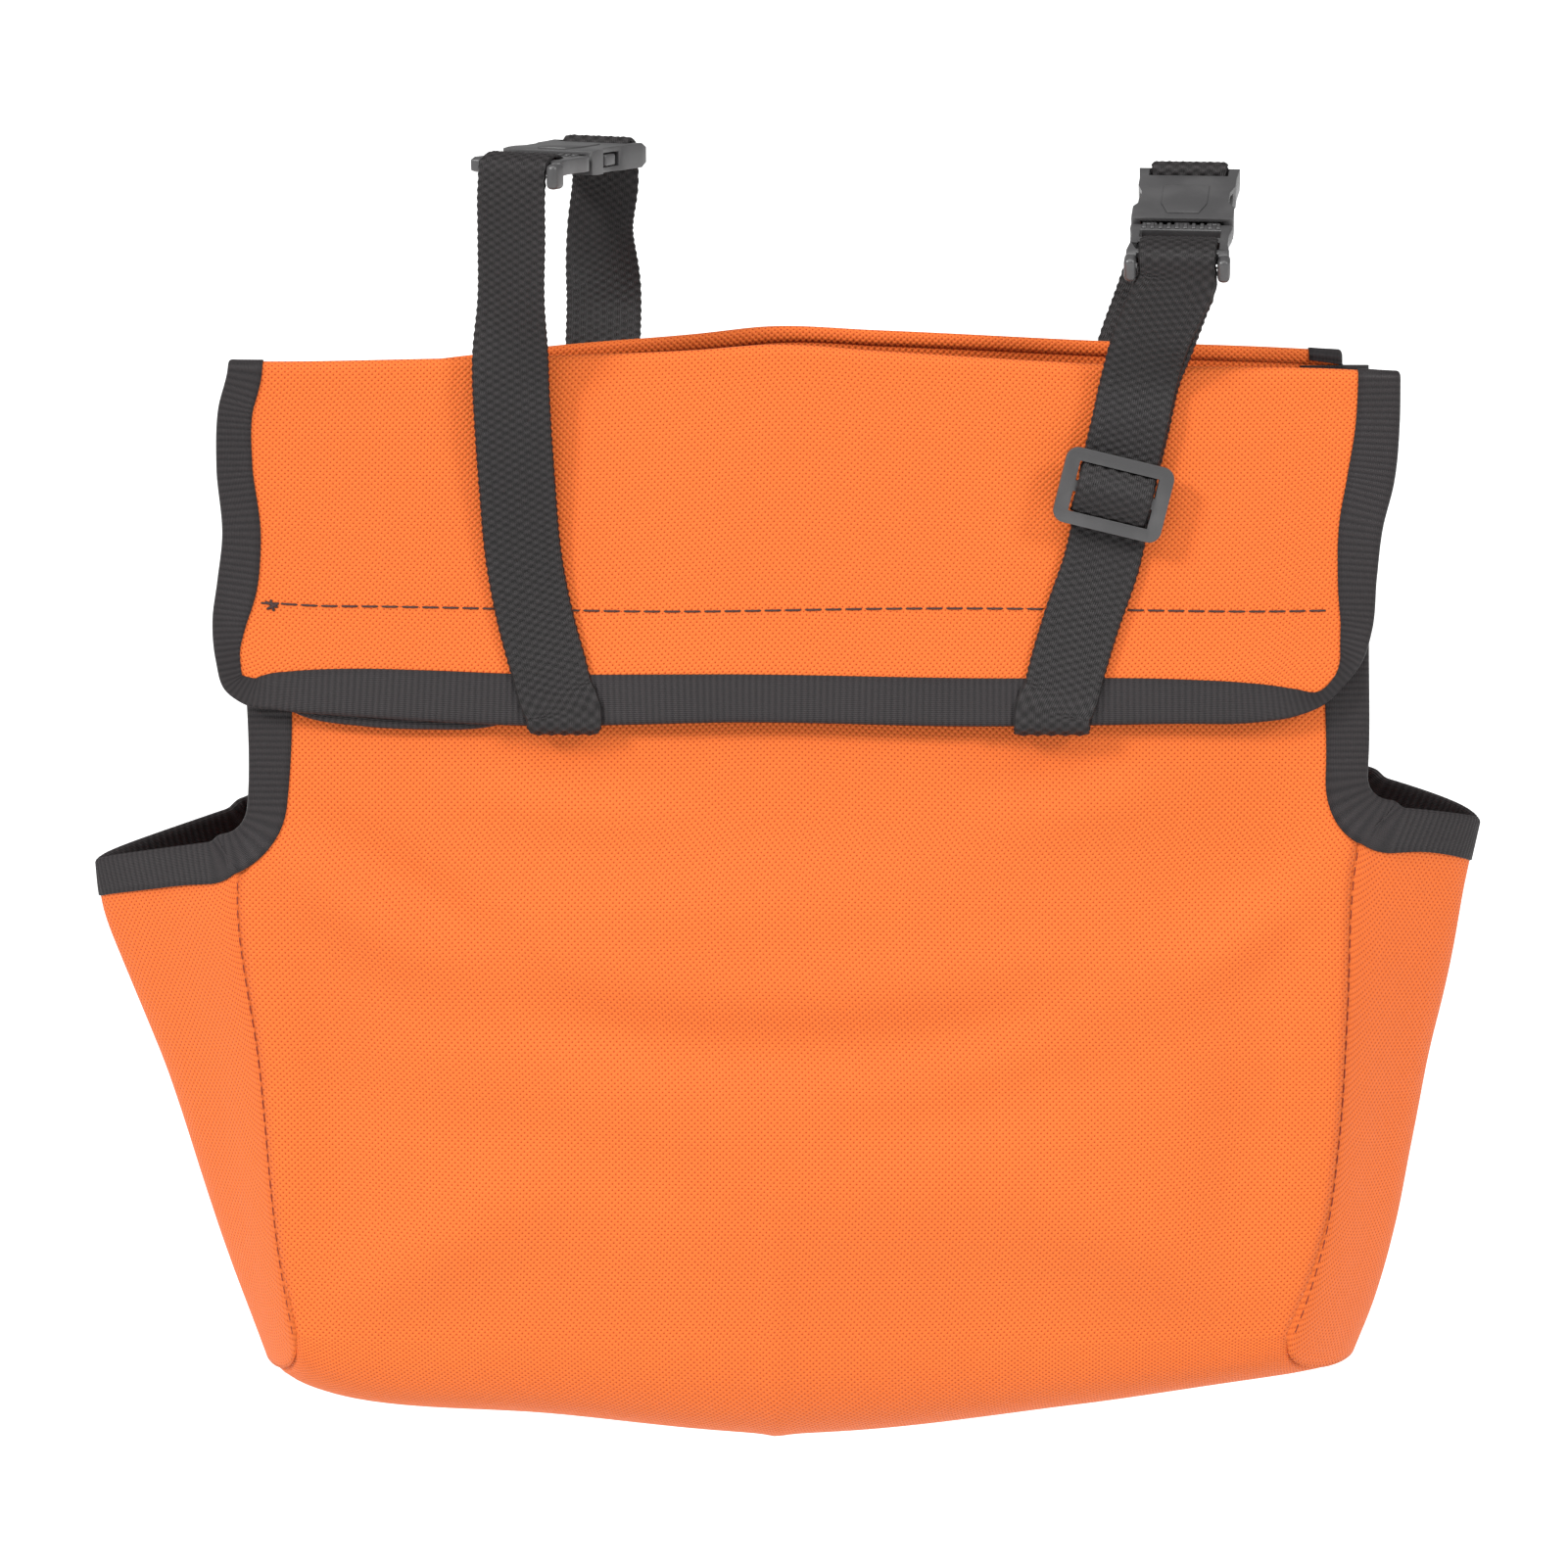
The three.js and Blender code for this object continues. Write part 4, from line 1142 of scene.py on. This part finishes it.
def webbing(name, path, wides, narrow=None):
    """Webbing along path, whose width runs as near as it can to the direction wides."""
    table = evenly(np.concatenate([path, wides], 1), WEB_STEP)
    line = table[:, :3]
    along = lengths(line)
    run = unit(np.gradient(line, axis=0))
    wide = unit(table[:, 3:6] - (table[:, 3:6] * run).sum(1)[:, None] * run)
    up = np.cross(wide, run)
    across, face = web_section().T
    column = np.floor(across / WEB_COLUMN + 0.5)
    inside = 0.5 + 0.5 * np.cos(2 * math.pi * (across / WEB_COLUMN - column))
    phase = 2 * math.pi * along[:, None] / WEB_ROW + math.pi * column[None, :]
    relief = WEB_RELIEF * np.cos(phase) * inside[None, :]
    scallop = 1 + 0.014 * np.cos(2 * math.pi * along / WEB_ROW)
    shrink = np.ones(len(along)) if narrow is None else narrow(along / along[-1])
    a = across[None, :] * (scallop * shrink)[:, None]
    b = face[None, :] * (WEB / 2 + relief)
    rings = line[:, None] + wide[:, None] * a[..., None] + up[:, None] * b[..., None]
    around = np.concatenate([across, across[:1]]) + WEB_WIDTH / 2
    return strip_piece(name, rings, along, around, BLACK_WEBBING)


# %% [markdown]
# ## Where the straps run
# A strap starts behind the hem, turns up round its lower edge, lies over the cuff and leaves it at the
# mouth to reach its buckle. Each buckle has its own frame, taken from where the frame's own buckle
# stands, so the strap ends meet it exactly.

# %% Frames of the two buckles and of the slider
SIDEWAYS = (1.0, 0.0, 0.0)
UPWARDS = (0.0, 0.0, 1.0)
SOCKET_MIDDLE = (11.25, 0, 4)
SLIDER_MIDDLE = (0, 0, 1.3)


def middle_of(node):
    """The middle of a node's box, in millimetres."""
    return sum((Vector(corner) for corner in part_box(node)), Vector()) / 2 / MM


def axes_at(node, joint, across, middle):
    """A part's own frame: x along its joint, and middle at the middle of the node's box."""
    along = Vector(JOINTS[joint]["axis"]).normalized()
    across = across(along).normalized()
    turn = Matrix((along, across, along.cross(across))).transposed()
    return Matrix.Translation(middle_of(node) - turn @ Vector(middle)) @ turn.to_4x4()


def level_across(along):
    """Level, and square to the way that a buckle opens."""
    return Vector(UPWARDS).cross(along)


BUCKLE_AXES = {
    hand: axes_at(f"{name}_buckle_socket", f"{name}_buckle_release", level_across, SOCKET_MIDDLE)
    for hand, name in HAND_NAMES.items()
}
WIDE = {hand: tuple(-BUCKLE_AXES[hand].col[1].to_3d()) for hand in (LEFT, RIGHT)}


def at_buckle(hand, x, z):
    """A point on a buckle's middle line, in the bag's frame."""
    return tuple(BUCKLE_AXES[hand] @ Vector((x, 0, z)))


def on_cuff(side, x, z, out):
    """One point of a cuff, out from the outer face of its cloth."""
    return tuple(cuff(side, np.array(float(x)), np.array(float(z)), np.array(float(out))))


for hand, name in HAND_NAMES.items():
    print(name, "buckle stands at", [round(c, 1) for c in BUCKLE_AXES[hand].to_translation()])

# %% [markdown]
# ## The front straps
# Each front strap is sewn round the hem at its lower end and threaded over the outer bar of a plug at
# its upper end. On the right it goes through the slider on the way, so there a second layer, the tail,
# lies on the first between the slider and the plug. A curve object would do for the path, but the
# webbing has to lie flat on the cuff and on the bar, so its width is steered along the way too.

# %% The front straps
STRAP_X = {
    LEFT: through((-178, -73.5), (-160, -78.4), (-137, -84.4), (-99, -88.4), (-57, -90.4)),
    RIGHT: through((-179, 86.2), (-150, 94), (-127, 101.8), (-100, 107.2), (-80, 111.6), (-57, 116.6)),
}
STRAP_LOW = -179.5
ON_TAPE = 1.9
ON_CLOTH = 1.4


def hem_turn(side, x, lowest):
    """The part of a strap behind the hem and round its lower edge."""
    behind = CLOTH + TAPE + WEB / 2 + 0.5
    return [
        on_cuff(side, x, lowest + 15, -behind),
        on_cuff(side, x, lowest + 4, -behind - 0.1),
        on_cuff(side, x, lowest + 0.4, -behind + 0.4),
        on_cuff(side, x, lowest - 1.6, -CLOTH / 2),
        on_cuff(side, x, lowest + 0.4, ON_TAPE + 0.1),
        on_cuff(side, x, lowest + 5, ON_TAPE + 0.1),
    ]


def turned_corners(share):
    """Webbing is pinched a little where it is folded round the hem."""
    return 1 - 0.12 * np.exp(-(((share - 0.075) / 0.016) ** 2))


STRAP_LIFT = {
    LEFT: [(-145, 0.7), (-125, 1.5), (-100, 3.4), (-80, 5.2), (-66, 6.2)],
    RIGHT: [(-145, 0.7), (-125, 0.7), (-100, 0.7), (-80, 1.6), (-66, 2.2)],
}
KNEE = {hand: Vector(at_buckle(hand, -31.5, -2)) for hand in (LEFT, RIGHT)}
CLIMB = (0.4, 0.75, 1)
TAIL_LEAN = Vector((-1.8, 0, 0))
TAIL_SHIFT = -0.8
INNER_LAYER = Vector((0.6, 1.8, -0.6))


def over_bar(hand, start):
    """From a strap point up to the plug, over its outer bar and down into its first slot."""
    lean = TAIL_LEAN * (hand == RIGHT)
    climb = [tuple(lerp(start, KNEE[hand], share) + lean * (1 - share)) for share in CLIMB]
    bend = [(-29.5, 5.6), (-25, 7.4), (-19, 6.2), (-15.5, 3.4)]
    return climb + [at_buckle(hand, x, z) for x, z in bend]


def up_cuff(side, middle, lifts):
    """A strap from behind the hem, round it and up the cuff, with its height off the cloth."""
    path = hem_turn(side, middle(STRAP_LOW), STRAP_LOW)
    path += [on_cuff(side, middle(z), z, ON_TAPE) for z in (-168, -160)]
    return path + [on_cuff(side, middle(z), z, ON_CLOTH + lift) for z, lift in lifts]


def strap(name, hand, on_bag, on_buckle, narrow=None):
    """Webbing that lies sideways on the bag, and then across its buckle."""
    wides = [SIDEWAYS] * len(on_bag) + [WIDE[hand]] * len(on_buckle)
    return webbing(f"{HAND_NAMES[hand]}_{name}_web", np.array(on_bag + on_buckle), np.array(wides), narrow)


front_straps = {}
for hand in (LEFT, RIGHT):
    path = up_cuff(FRONT, STRAP_X[hand], STRAP_LIFT[hand])
    start = Vector(path[-1])
    if hand == LEFT:
        ending = over_bar(hand, start)
    else:
        ending = [tuple(lerp(start, KNEE[hand] + INNER_LAYER, share)) for share in CLIMB]
        ending.append(at_buckle(hand, -25, -1.3))
    front_straps[hand] = strap("front_strap", hand, path, ending, turned_corners)

tail_lift = [(-99, 2.7), (-90, 2.7), (-80, 3.4), (-66, 3.4)]
path = [on_cuff(FRONT, STRAP_X[RIGHT](z) + TAIL_SHIFT, z, ON_CLOTH + lift) for z, lift in tail_lift]
strap_tail = strap("strap_tail", RIGHT, path, over_bar(RIGHT, Vector(path[-1])))

# %% [markdown]
# ## The back straps and the loops
# Behind, a strap is sewn on in the same way and runs up to the mouth. There it becomes the loop, which
# turns round the bar of the socket. Sewn strap and loop are two pieces, because on the bag the loop goes
# with the socket when the buckle is undone and the strap stays on the cuff. Here the loop is not
# attached to the socket.

# %% The back straps and the tops of the loops
BACK_X = {LEFT: through((-178, -63), (-57, -62)), RIGHT: through((-178, 95), (-57, 116))}
JOIN_Z = -100
BACK_LIFT = 0.7
LOOP_BEND = [(32, -4), (31.5, 3), (29.5, 8.4), (26.5, 8.8), (24.4, 5.5)]
back_straps = {}
loop_tops = {}
for hand in (LEFT, RIGHT):
    middle = BACK_X[hand]
    path = up_cuff(BACK, middle, [(z, BACK_LIFT) for z in (-145, -125, JOIN_Z)])
    back_straps[hand] = strap("back_strap", hand, path, [], turned_corners)
    top = [on_cuff(BACK, middle(z), z, ON_CLOTH + BACK_LIFT) for z in (JOIN_Z, -80, -66)]
    mouth, end = Vector(top[-1]), Vector(at_buckle(hand, *LOOP_BEND[0]))
    top.append(tuple(lerp(mouth, end, 0.35) + Vector((0, 3.5, 0))))
    bent = [tuple(lerp(mouth, end, 0.72) + Vector((-1.6 * (hand == LEFT), 3.0, 0)))]
    bent += [at_buckle(hand, x, z) for x, z in LOOP_BEND]
    loop_tops[hand] = strap("loop", hand, top, bent)

# %% [markdown]
# ## Buckles
# Each buckle is a moulded plug with two springy arms and a socket that they click into. They could be
# booleans of simple boxes only, but moulded parts have drawn-in sides and soft edges, so each one
# starts as a block, is cut into lengths, has its sides moved, and gets its edges rounded at the end.


# %% Working on a block by hand
MIDDLE_HEIGHT = 4
SHARP = 28
SMOOTH = 40


def in_edit_mode(piece, choose=None, kind="FACE"):
    """Opens a piece in edit mode with only the faces or edges that choose picks selected."""
    bpy.ops.object.select_all(action="DESELECT")
    piece.select_set(True)
    bpy.context.view_layer.objects.active = piece
    bpy.ops.object.mode_set(mode="EDIT")
    bpy.ops.mesh.select_mode(type=kind)
    bpy.ops.mesh.select_all(action="SELECT" if choose is None else "DESELECT")
    if choose is None:
        return
    bpy.ops.object.mode_set(mode="OBJECT")
    mesh = piece.data
    parts = {"FACE": mesh.polygons, "EDGE": mesh.edges, "VERT": mesh.vertices}[kind]
    for part in parts:
        places = [part.co] if kind == "VERT" else [mesh.vertices[i].co for i in part.vertices]
        part.select = bool(choose([place / MM for place in places]))
    bpy.ops.object.mode_set(mode="EDIT")


def block(name, low, high):
    """A block from its lowest to its highest corner, in millimetres."""
    low, high = Vector(low) * MM, Vector(high) * MM
    bpy.ops.object.select_all(action="DESELECT")
    bpy.ops.mesh.primitive_cube_add(size=1, location=(low + high) / 2, scale=high - low)
    made = bpy.context.object
    made.name = made.data.name = name
    bpy.ops.object.transform_apply(location=True, rotation=True, scale=True)
    return made


def cut_across(piece, axis, *places):
    """Cuts a piece into lengths, which gives it new vertices to shape."""
    for place in places:
        in_edit_mode(piece)
        point, normal = [0, 0, 0], [0, 0, 0]
        point[axis], normal[axis] = place * MM, 1
        bpy.ops.mesh.bisect(plane_co=point, plane_no=normal)
        bpy.ops.object.mode_set(mode="OBJECT")


def squeeze(piece, low, high, axis, factor):
    """Scales all vertices from low to high along x, on one axis about the middle line."""
    in_edit_mode(piece, lambda spots: all(low <= spot.x <= high for spot in spots), "VERT")
    value = [1, 1, 1]
    value[axis] = factor
    bpy.ops.transform.resize(value=value, center_override=(0, 0, MIDDLE_HEIGHT * MM))
    bpy.ops.object.mode_set(mode="OBJECT")


def carve(piece, low, high):
    """Takes a block out of a piece."""
    cutter = block("cutter", low, high)
    hole = piece.modifiers.new("hole", "BOOLEAN")
    hole.operation = "DIFFERENCE"
    hole.solver = "EXACT"
    hole.object = cutter
    apply_all(piece)
    bpy.data.objects.remove(cutter)


def add_on(piece, other):
    """Joins another block on to a piece."""
    bpy.ops.object.select_all(action="DESELECT")
    other.select_set(True)
    piece.select_set(True)
    bpy.context.view_layer.objects.active = piece
    bpy.ops.object.join()


def soften(piece, width, segments=3):
    """Rounds every sharp edge and smooths the shading between them."""
    edge = piece.modifiers.new("edge", "BEVEL")
    edge.width = width * MM
    edge.segments = segments
    edge.limit_method = "ANGLE"
    edge.angle_limit = math.radians(SHARP)
    edge.use_clamp_overlap = True
    apply_all(piece)
    bpy.ops.object.shade_smooth_by_angle(angle=math.radians(SMOOTH))


def settle(piece, axes, material):
    """Turns a finished piece into its place, and puts that place into its mesh."""
    places = Matrix.Translation(axes.to_translation() * MM) @ axes.to_3x3().to_4x4()
    piece.data.transform(places)
    piece.data.materials.clear()
    piece.data.materials.append(material)
    print(piece.name, len(piece.data.polygons), "faces")
    return piece


# %% [markdown]
# ## The plug
# The plug is a frame with two slots for the webbing, a row of small ribs for the thumb and a tongue
# that guides it into the socket. Its two arms are springs, and each is a piece of its own because it
# moves. The slots are cut out of the block, as a mould's cores would leave them.

# %% The plug: a frame for the webbing, ribs for the thumb and a middle tongue
RIBS = 10
HALF_WIDE = 16.5
SLOT_HALF = 13
BUCKLE_TOP = 8


def make_plug(name, finger_sides):
    """A plug in its own frame, with a rounded finger at each of the given sides."""
    plug = block(name, (-29, -HALF_WIDE, 1.5), (-9.3, HALF_WIDE, 6.5))
    cut_across(plug, 0, -26.5, -22, -16, -12)
    squeeze(plug, -22.5, -15.5, 1, 0.955)
    squeeze(plug, -29.1, -28.9, 2, 0.72)
    for low, high in ((-26, -21), (-18, -13), (-31, -28)):
        carve(plug, (low, -SLOT_HALF, -2), (high, SLOT_HALF, 10))
    soften(plug, 0.9)
    for y in finger_sides:
        finger = block("finger", (-33, y - 2, -2.5), (-26.5, y + 2, 5.6))
        soften(finger, 1.7, 4)
        add_on(plug, finger)
    tongue = block("tongue", (-9.5, -2.5, 2), (16, 2.5, 6))
    cut_across(tongue, 0, 10)
    squeeze(tongue, 15.9, 16.1, 1, 0.6)
    soften(tongue, 0.5, 2)
    add_on(plug, tongue)
    for i in range(RIBS):
        y = lerp(-12, 12, i / (RIBS - 1))
        rib = block("rib", (-12.6, y - 0.7, 6.2), (-9.2, y + 0.7, 7.0))
        soften(rib, 0.3, 1)
        add_on(plug, rib)
    return plug


def make_arm(name, side):
    """A spring arm with its catch, made where y is above 0 and mirrored for the other side."""
    arm = block(name, (-8.4, 8, 2), (12.5, 12, 6))
    cut_across(arm, 0, 3, 11)
    in_edit_mode(arm, lambda spots: all(spot.y > 11.9 and 2.9 < spot.x < 11.1 for spot in spots))
    bpy.ops.mesh.extrude_region_move(TRANSFORM_OT_translate={"value": (0, 3.5 * MM, 0)})
    bpy.ops.transform.resize(value=(0.82, 1, 0.9))
    bpy.ops.object.mode_set(mode="OBJECT")
    soften(arm, 0.55)
    if side < 0:
        arm.data.transform(Matrix.Scale(-1, 4, (0, 1, 0)))
        in_edit_mode(arm)
        bpy.ops.mesh.normals_make_consistent(inside=False)
        bpy.ops.object.mode_set(mode="OBJECT")
    return arm


# %% [markdown]
# ## The socket
# The socket is a flat tube with a waist where two fingers press the arms. A window in each side lets
# the arms snap out, and a bar at the far end holds the loop. The tube and the windows are cut before
# the edges are rounded, so that every lip is soft.

# %% The socket: a shell with a waist, a window at each side and a bar for the webbing
def make_socket(name):
    socket = block(name, (-7.5, -HALF_WIDE, 0), (30, HALF_WIDE, BUCKLE_TOP))
    cut_across(socket, 0, -4, 0, 3.5, 10.5, 15, 20, 27)
    squeeze(socket, 3, 11, 1, 0.875)
    squeeze(socket, 14.9, 20.1, 1, 0.965)
    squeeze(socket, 29.9, 30.1, 2, 0.62)
    squeeze(socket, -7.6, -7.4, 2, 0.94)
    carve(socket, (-9, -13.5, 1.5), (19, 13.5, 6.5))
    carve(socket, (1, -20, 1.7), (13, 20, 6.3))
    carve(socket, (22, -SLOT_HALF, -2), (27, SLOT_HALF, 10))
    soften(socket, 0.8)
    panel = block("raised_panel", (-4.5, -7.5, 7.6), (15, 7.5, 8.45))
    cut_across(panel, 0, 2)
    squeeze(panel, -4.6, -4.4, 1, 0.7)
    soften(panel, 0.4, 2)
    add_on(socket, panel)
    return socket


FINGERS = {LEFT: (-15,), RIGHT: (-15, 15)}
hard_pieces = {}
for hand in (LEFT, RIGHT):
    buckle = f"{HAND_NAMES[hand]}_buckle"
    axes = BUCKLE_AXES[hand]
    hard_pieces[f"{buckle}_plug"] = make_plug(f"{buckle}_plug_body", FINGERS[hand])
    hard_pieces[f"{buckle}_socket"] = make_socket(f"{buckle}_socket_shell")
    for arm in ("arm_a", "arm_b"):
        side = 1 if (axes.inverted() @ middle_of(f"{buckle}_{arm}")).y > 0 else -1
        hard_pieces[f"{buckle}_{arm}"] = make_arm(f"{buckle}_{arm}_spring", side)
    for node, piece in hard_pieces.items():
        if node.startswith(buckle):
            settle(piece, axes, SATIN_PLASTIC)

# %% [markdown]
# ## Slider
# The length of the right loop is set with a slider, a rounded frame whose middle bar carries the
# webbing. The webbing arches over that bar, and this hump moves with the frame when it is slid.

# %% The slider frame and the webbing on its bar
SLIDER_SHIFT = 2.2


def across_strap(along):
    """Across the strap, for a frame that lies flat on it."""
    return Vector(SIDEWAYS).cross(along).cross(along)


SLIDER_AXES = axes_at("strap_slider", "slider_travel", across_strap, SLIDER_MIDDLE)
SLIDER_ACROSS = SLIDER_AXES.col[1].to_3d()
SLIDER_AXES = Matrix.Translation(-SLIDER_SHIFT * SLIDER_ACROSS) @ SLIDER_AXES


def make_slider(name):
    slider = block(name, (-12.5, -18, 0.0), (12.5, 18, 2.8))
    in_edit_mode(slider, lambda spots: abs(spots[0].z - spots[1].z) > 1, "EDGE")
    bpy.ops.mesh.bevel(offset=4 * MM, offset_type="OFFSET", segments=6, affect="EDGES")
    bpy.ops.object.mode_set(mode="OBJECT")
    for low, high in ((-8.3, -1.8), (1.8, 8.3)):
        carve(slider, (low, -13.2, -2), (high, 13.2, 6))
    soften(slider, 0.75)
    return slider


hard_pieces["strap_slider"] = settle(make_slider("slider_frame"), SLIDER_AXES, SATIN_PLASTIC)
hump = [(-8, 1.1), (-6.6, 1.7), (-4, 3.2), (0, 4.2), (4, 3.2), (6.6, 1.7), (8, 1.1)]
path = np.array([SLIDER_AXES @ Vector((x, 0, z)) for x, z in hump])
hump_web = webbing("slider_hump_web", path, np.tile(-SLIDER_ACROSS, (len(hump), 1)))

# %% [markdown]
# ## What moves with what
# The sack, its gussets and their tape and seams, the strap's tail, the hump and the hard pieces ride on
# bodies of the frame. A cuff, with its tape, its thread and its straps, crosses the hem's joint, and the
# loop runs from the bag to the socket; here these only have their places put into their meshes and are
# neither blended nor attached to a body. Cut in two at the joint, cloth would open in a slit.


def lifts(piece, side):
    """A cuff piece: puts its place into its mesh."""
    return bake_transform(piece)


for side in (FRONT, BACK):
    for piece in (cuffs[side], cuff_bindings[side], cuff_stitches[side]):
        lifts(piece, side)
for piece in (back_tack, hem_facing):
    lifts(piece, FRONT)
for hand in (LEFT, RIGHT):
    lifts(front_straps[hand], FRONT)
    lifts(back_straps[hand], BACK)
    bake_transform(loop_tops[hand])
    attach(gussets[hand], "root")
    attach(side_bindings[hand], "root")
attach(body_cloth, "root")
for row in seam_stitches.values():
    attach(row, "root")

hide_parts("front_panel", "back_panel", "bottom_panel")
for side in (FRONT, BACK):
    name = SIDE_NAMES[side]
    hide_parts(f"{name}_cuff", f"{name}_hem")
    sewn_on = [f"{name}_{part}" for part in ("hem_binding", "cuff_binding_left", "cuff_binding_right")]
    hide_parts(*sewn_on)
for hand in (LEFT, RIGHT):
    name = HAND_NAMES[hand]
    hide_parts(f"{name}_gusset")
    sewn_on = [f"front_neck_binding_{name}", f"back_neck_binding_{name}", f"{name}_rim_binding"]
    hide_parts(*sewn_on)
    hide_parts(f"{name}_front_strap", f"{name}_front_strap_end")
    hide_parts(f"{name}_back_strap_end", f"{name}_back_strap")
    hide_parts(f"{name}_loop_top")
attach(strap_tail, "root")
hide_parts("right_strap_tail")
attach(hump_web, "slider")
for node, piece in hard_pieces.items():
    part = node.split("buckle_")[-1]
    body = {"plug": "root", "strap_slider": "slider"}.get(part, f"{node.split('_')[0]}_{part}")
    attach(piece, body)
    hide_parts(node)

# %% [markdown]
# ## Finishes by name and cloth by size
# Every piece names the slot that its finish belongs to. Every sheet of cloth also says how large it was
# before it was sewn. The long cloth is measured down its middle line, and a gusset along its rim, with
# a little to spare. The other sizes are round ones that hold the whole of an outline. The cut area is
# measured on the finished sheet, so it says how much cloth there is here, and can't prove that a tailor
# would cut as much.

# %% The cloth's flat sizes
CLOTH_WIDE = 0.385
GUSSET_LONG = 0.2
GUSSET_SPARE = 6
for side in (FRONT, BACK):
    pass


flat = (CLOTH_WIDE, middle_line * MM)
for hand in (LEFT, RIGHT):
    flat = ((2 * half_girth(hand) + GUSSET_SPARE) * MM, GUSSET_LONG)
for side in (FRONT, BACK):
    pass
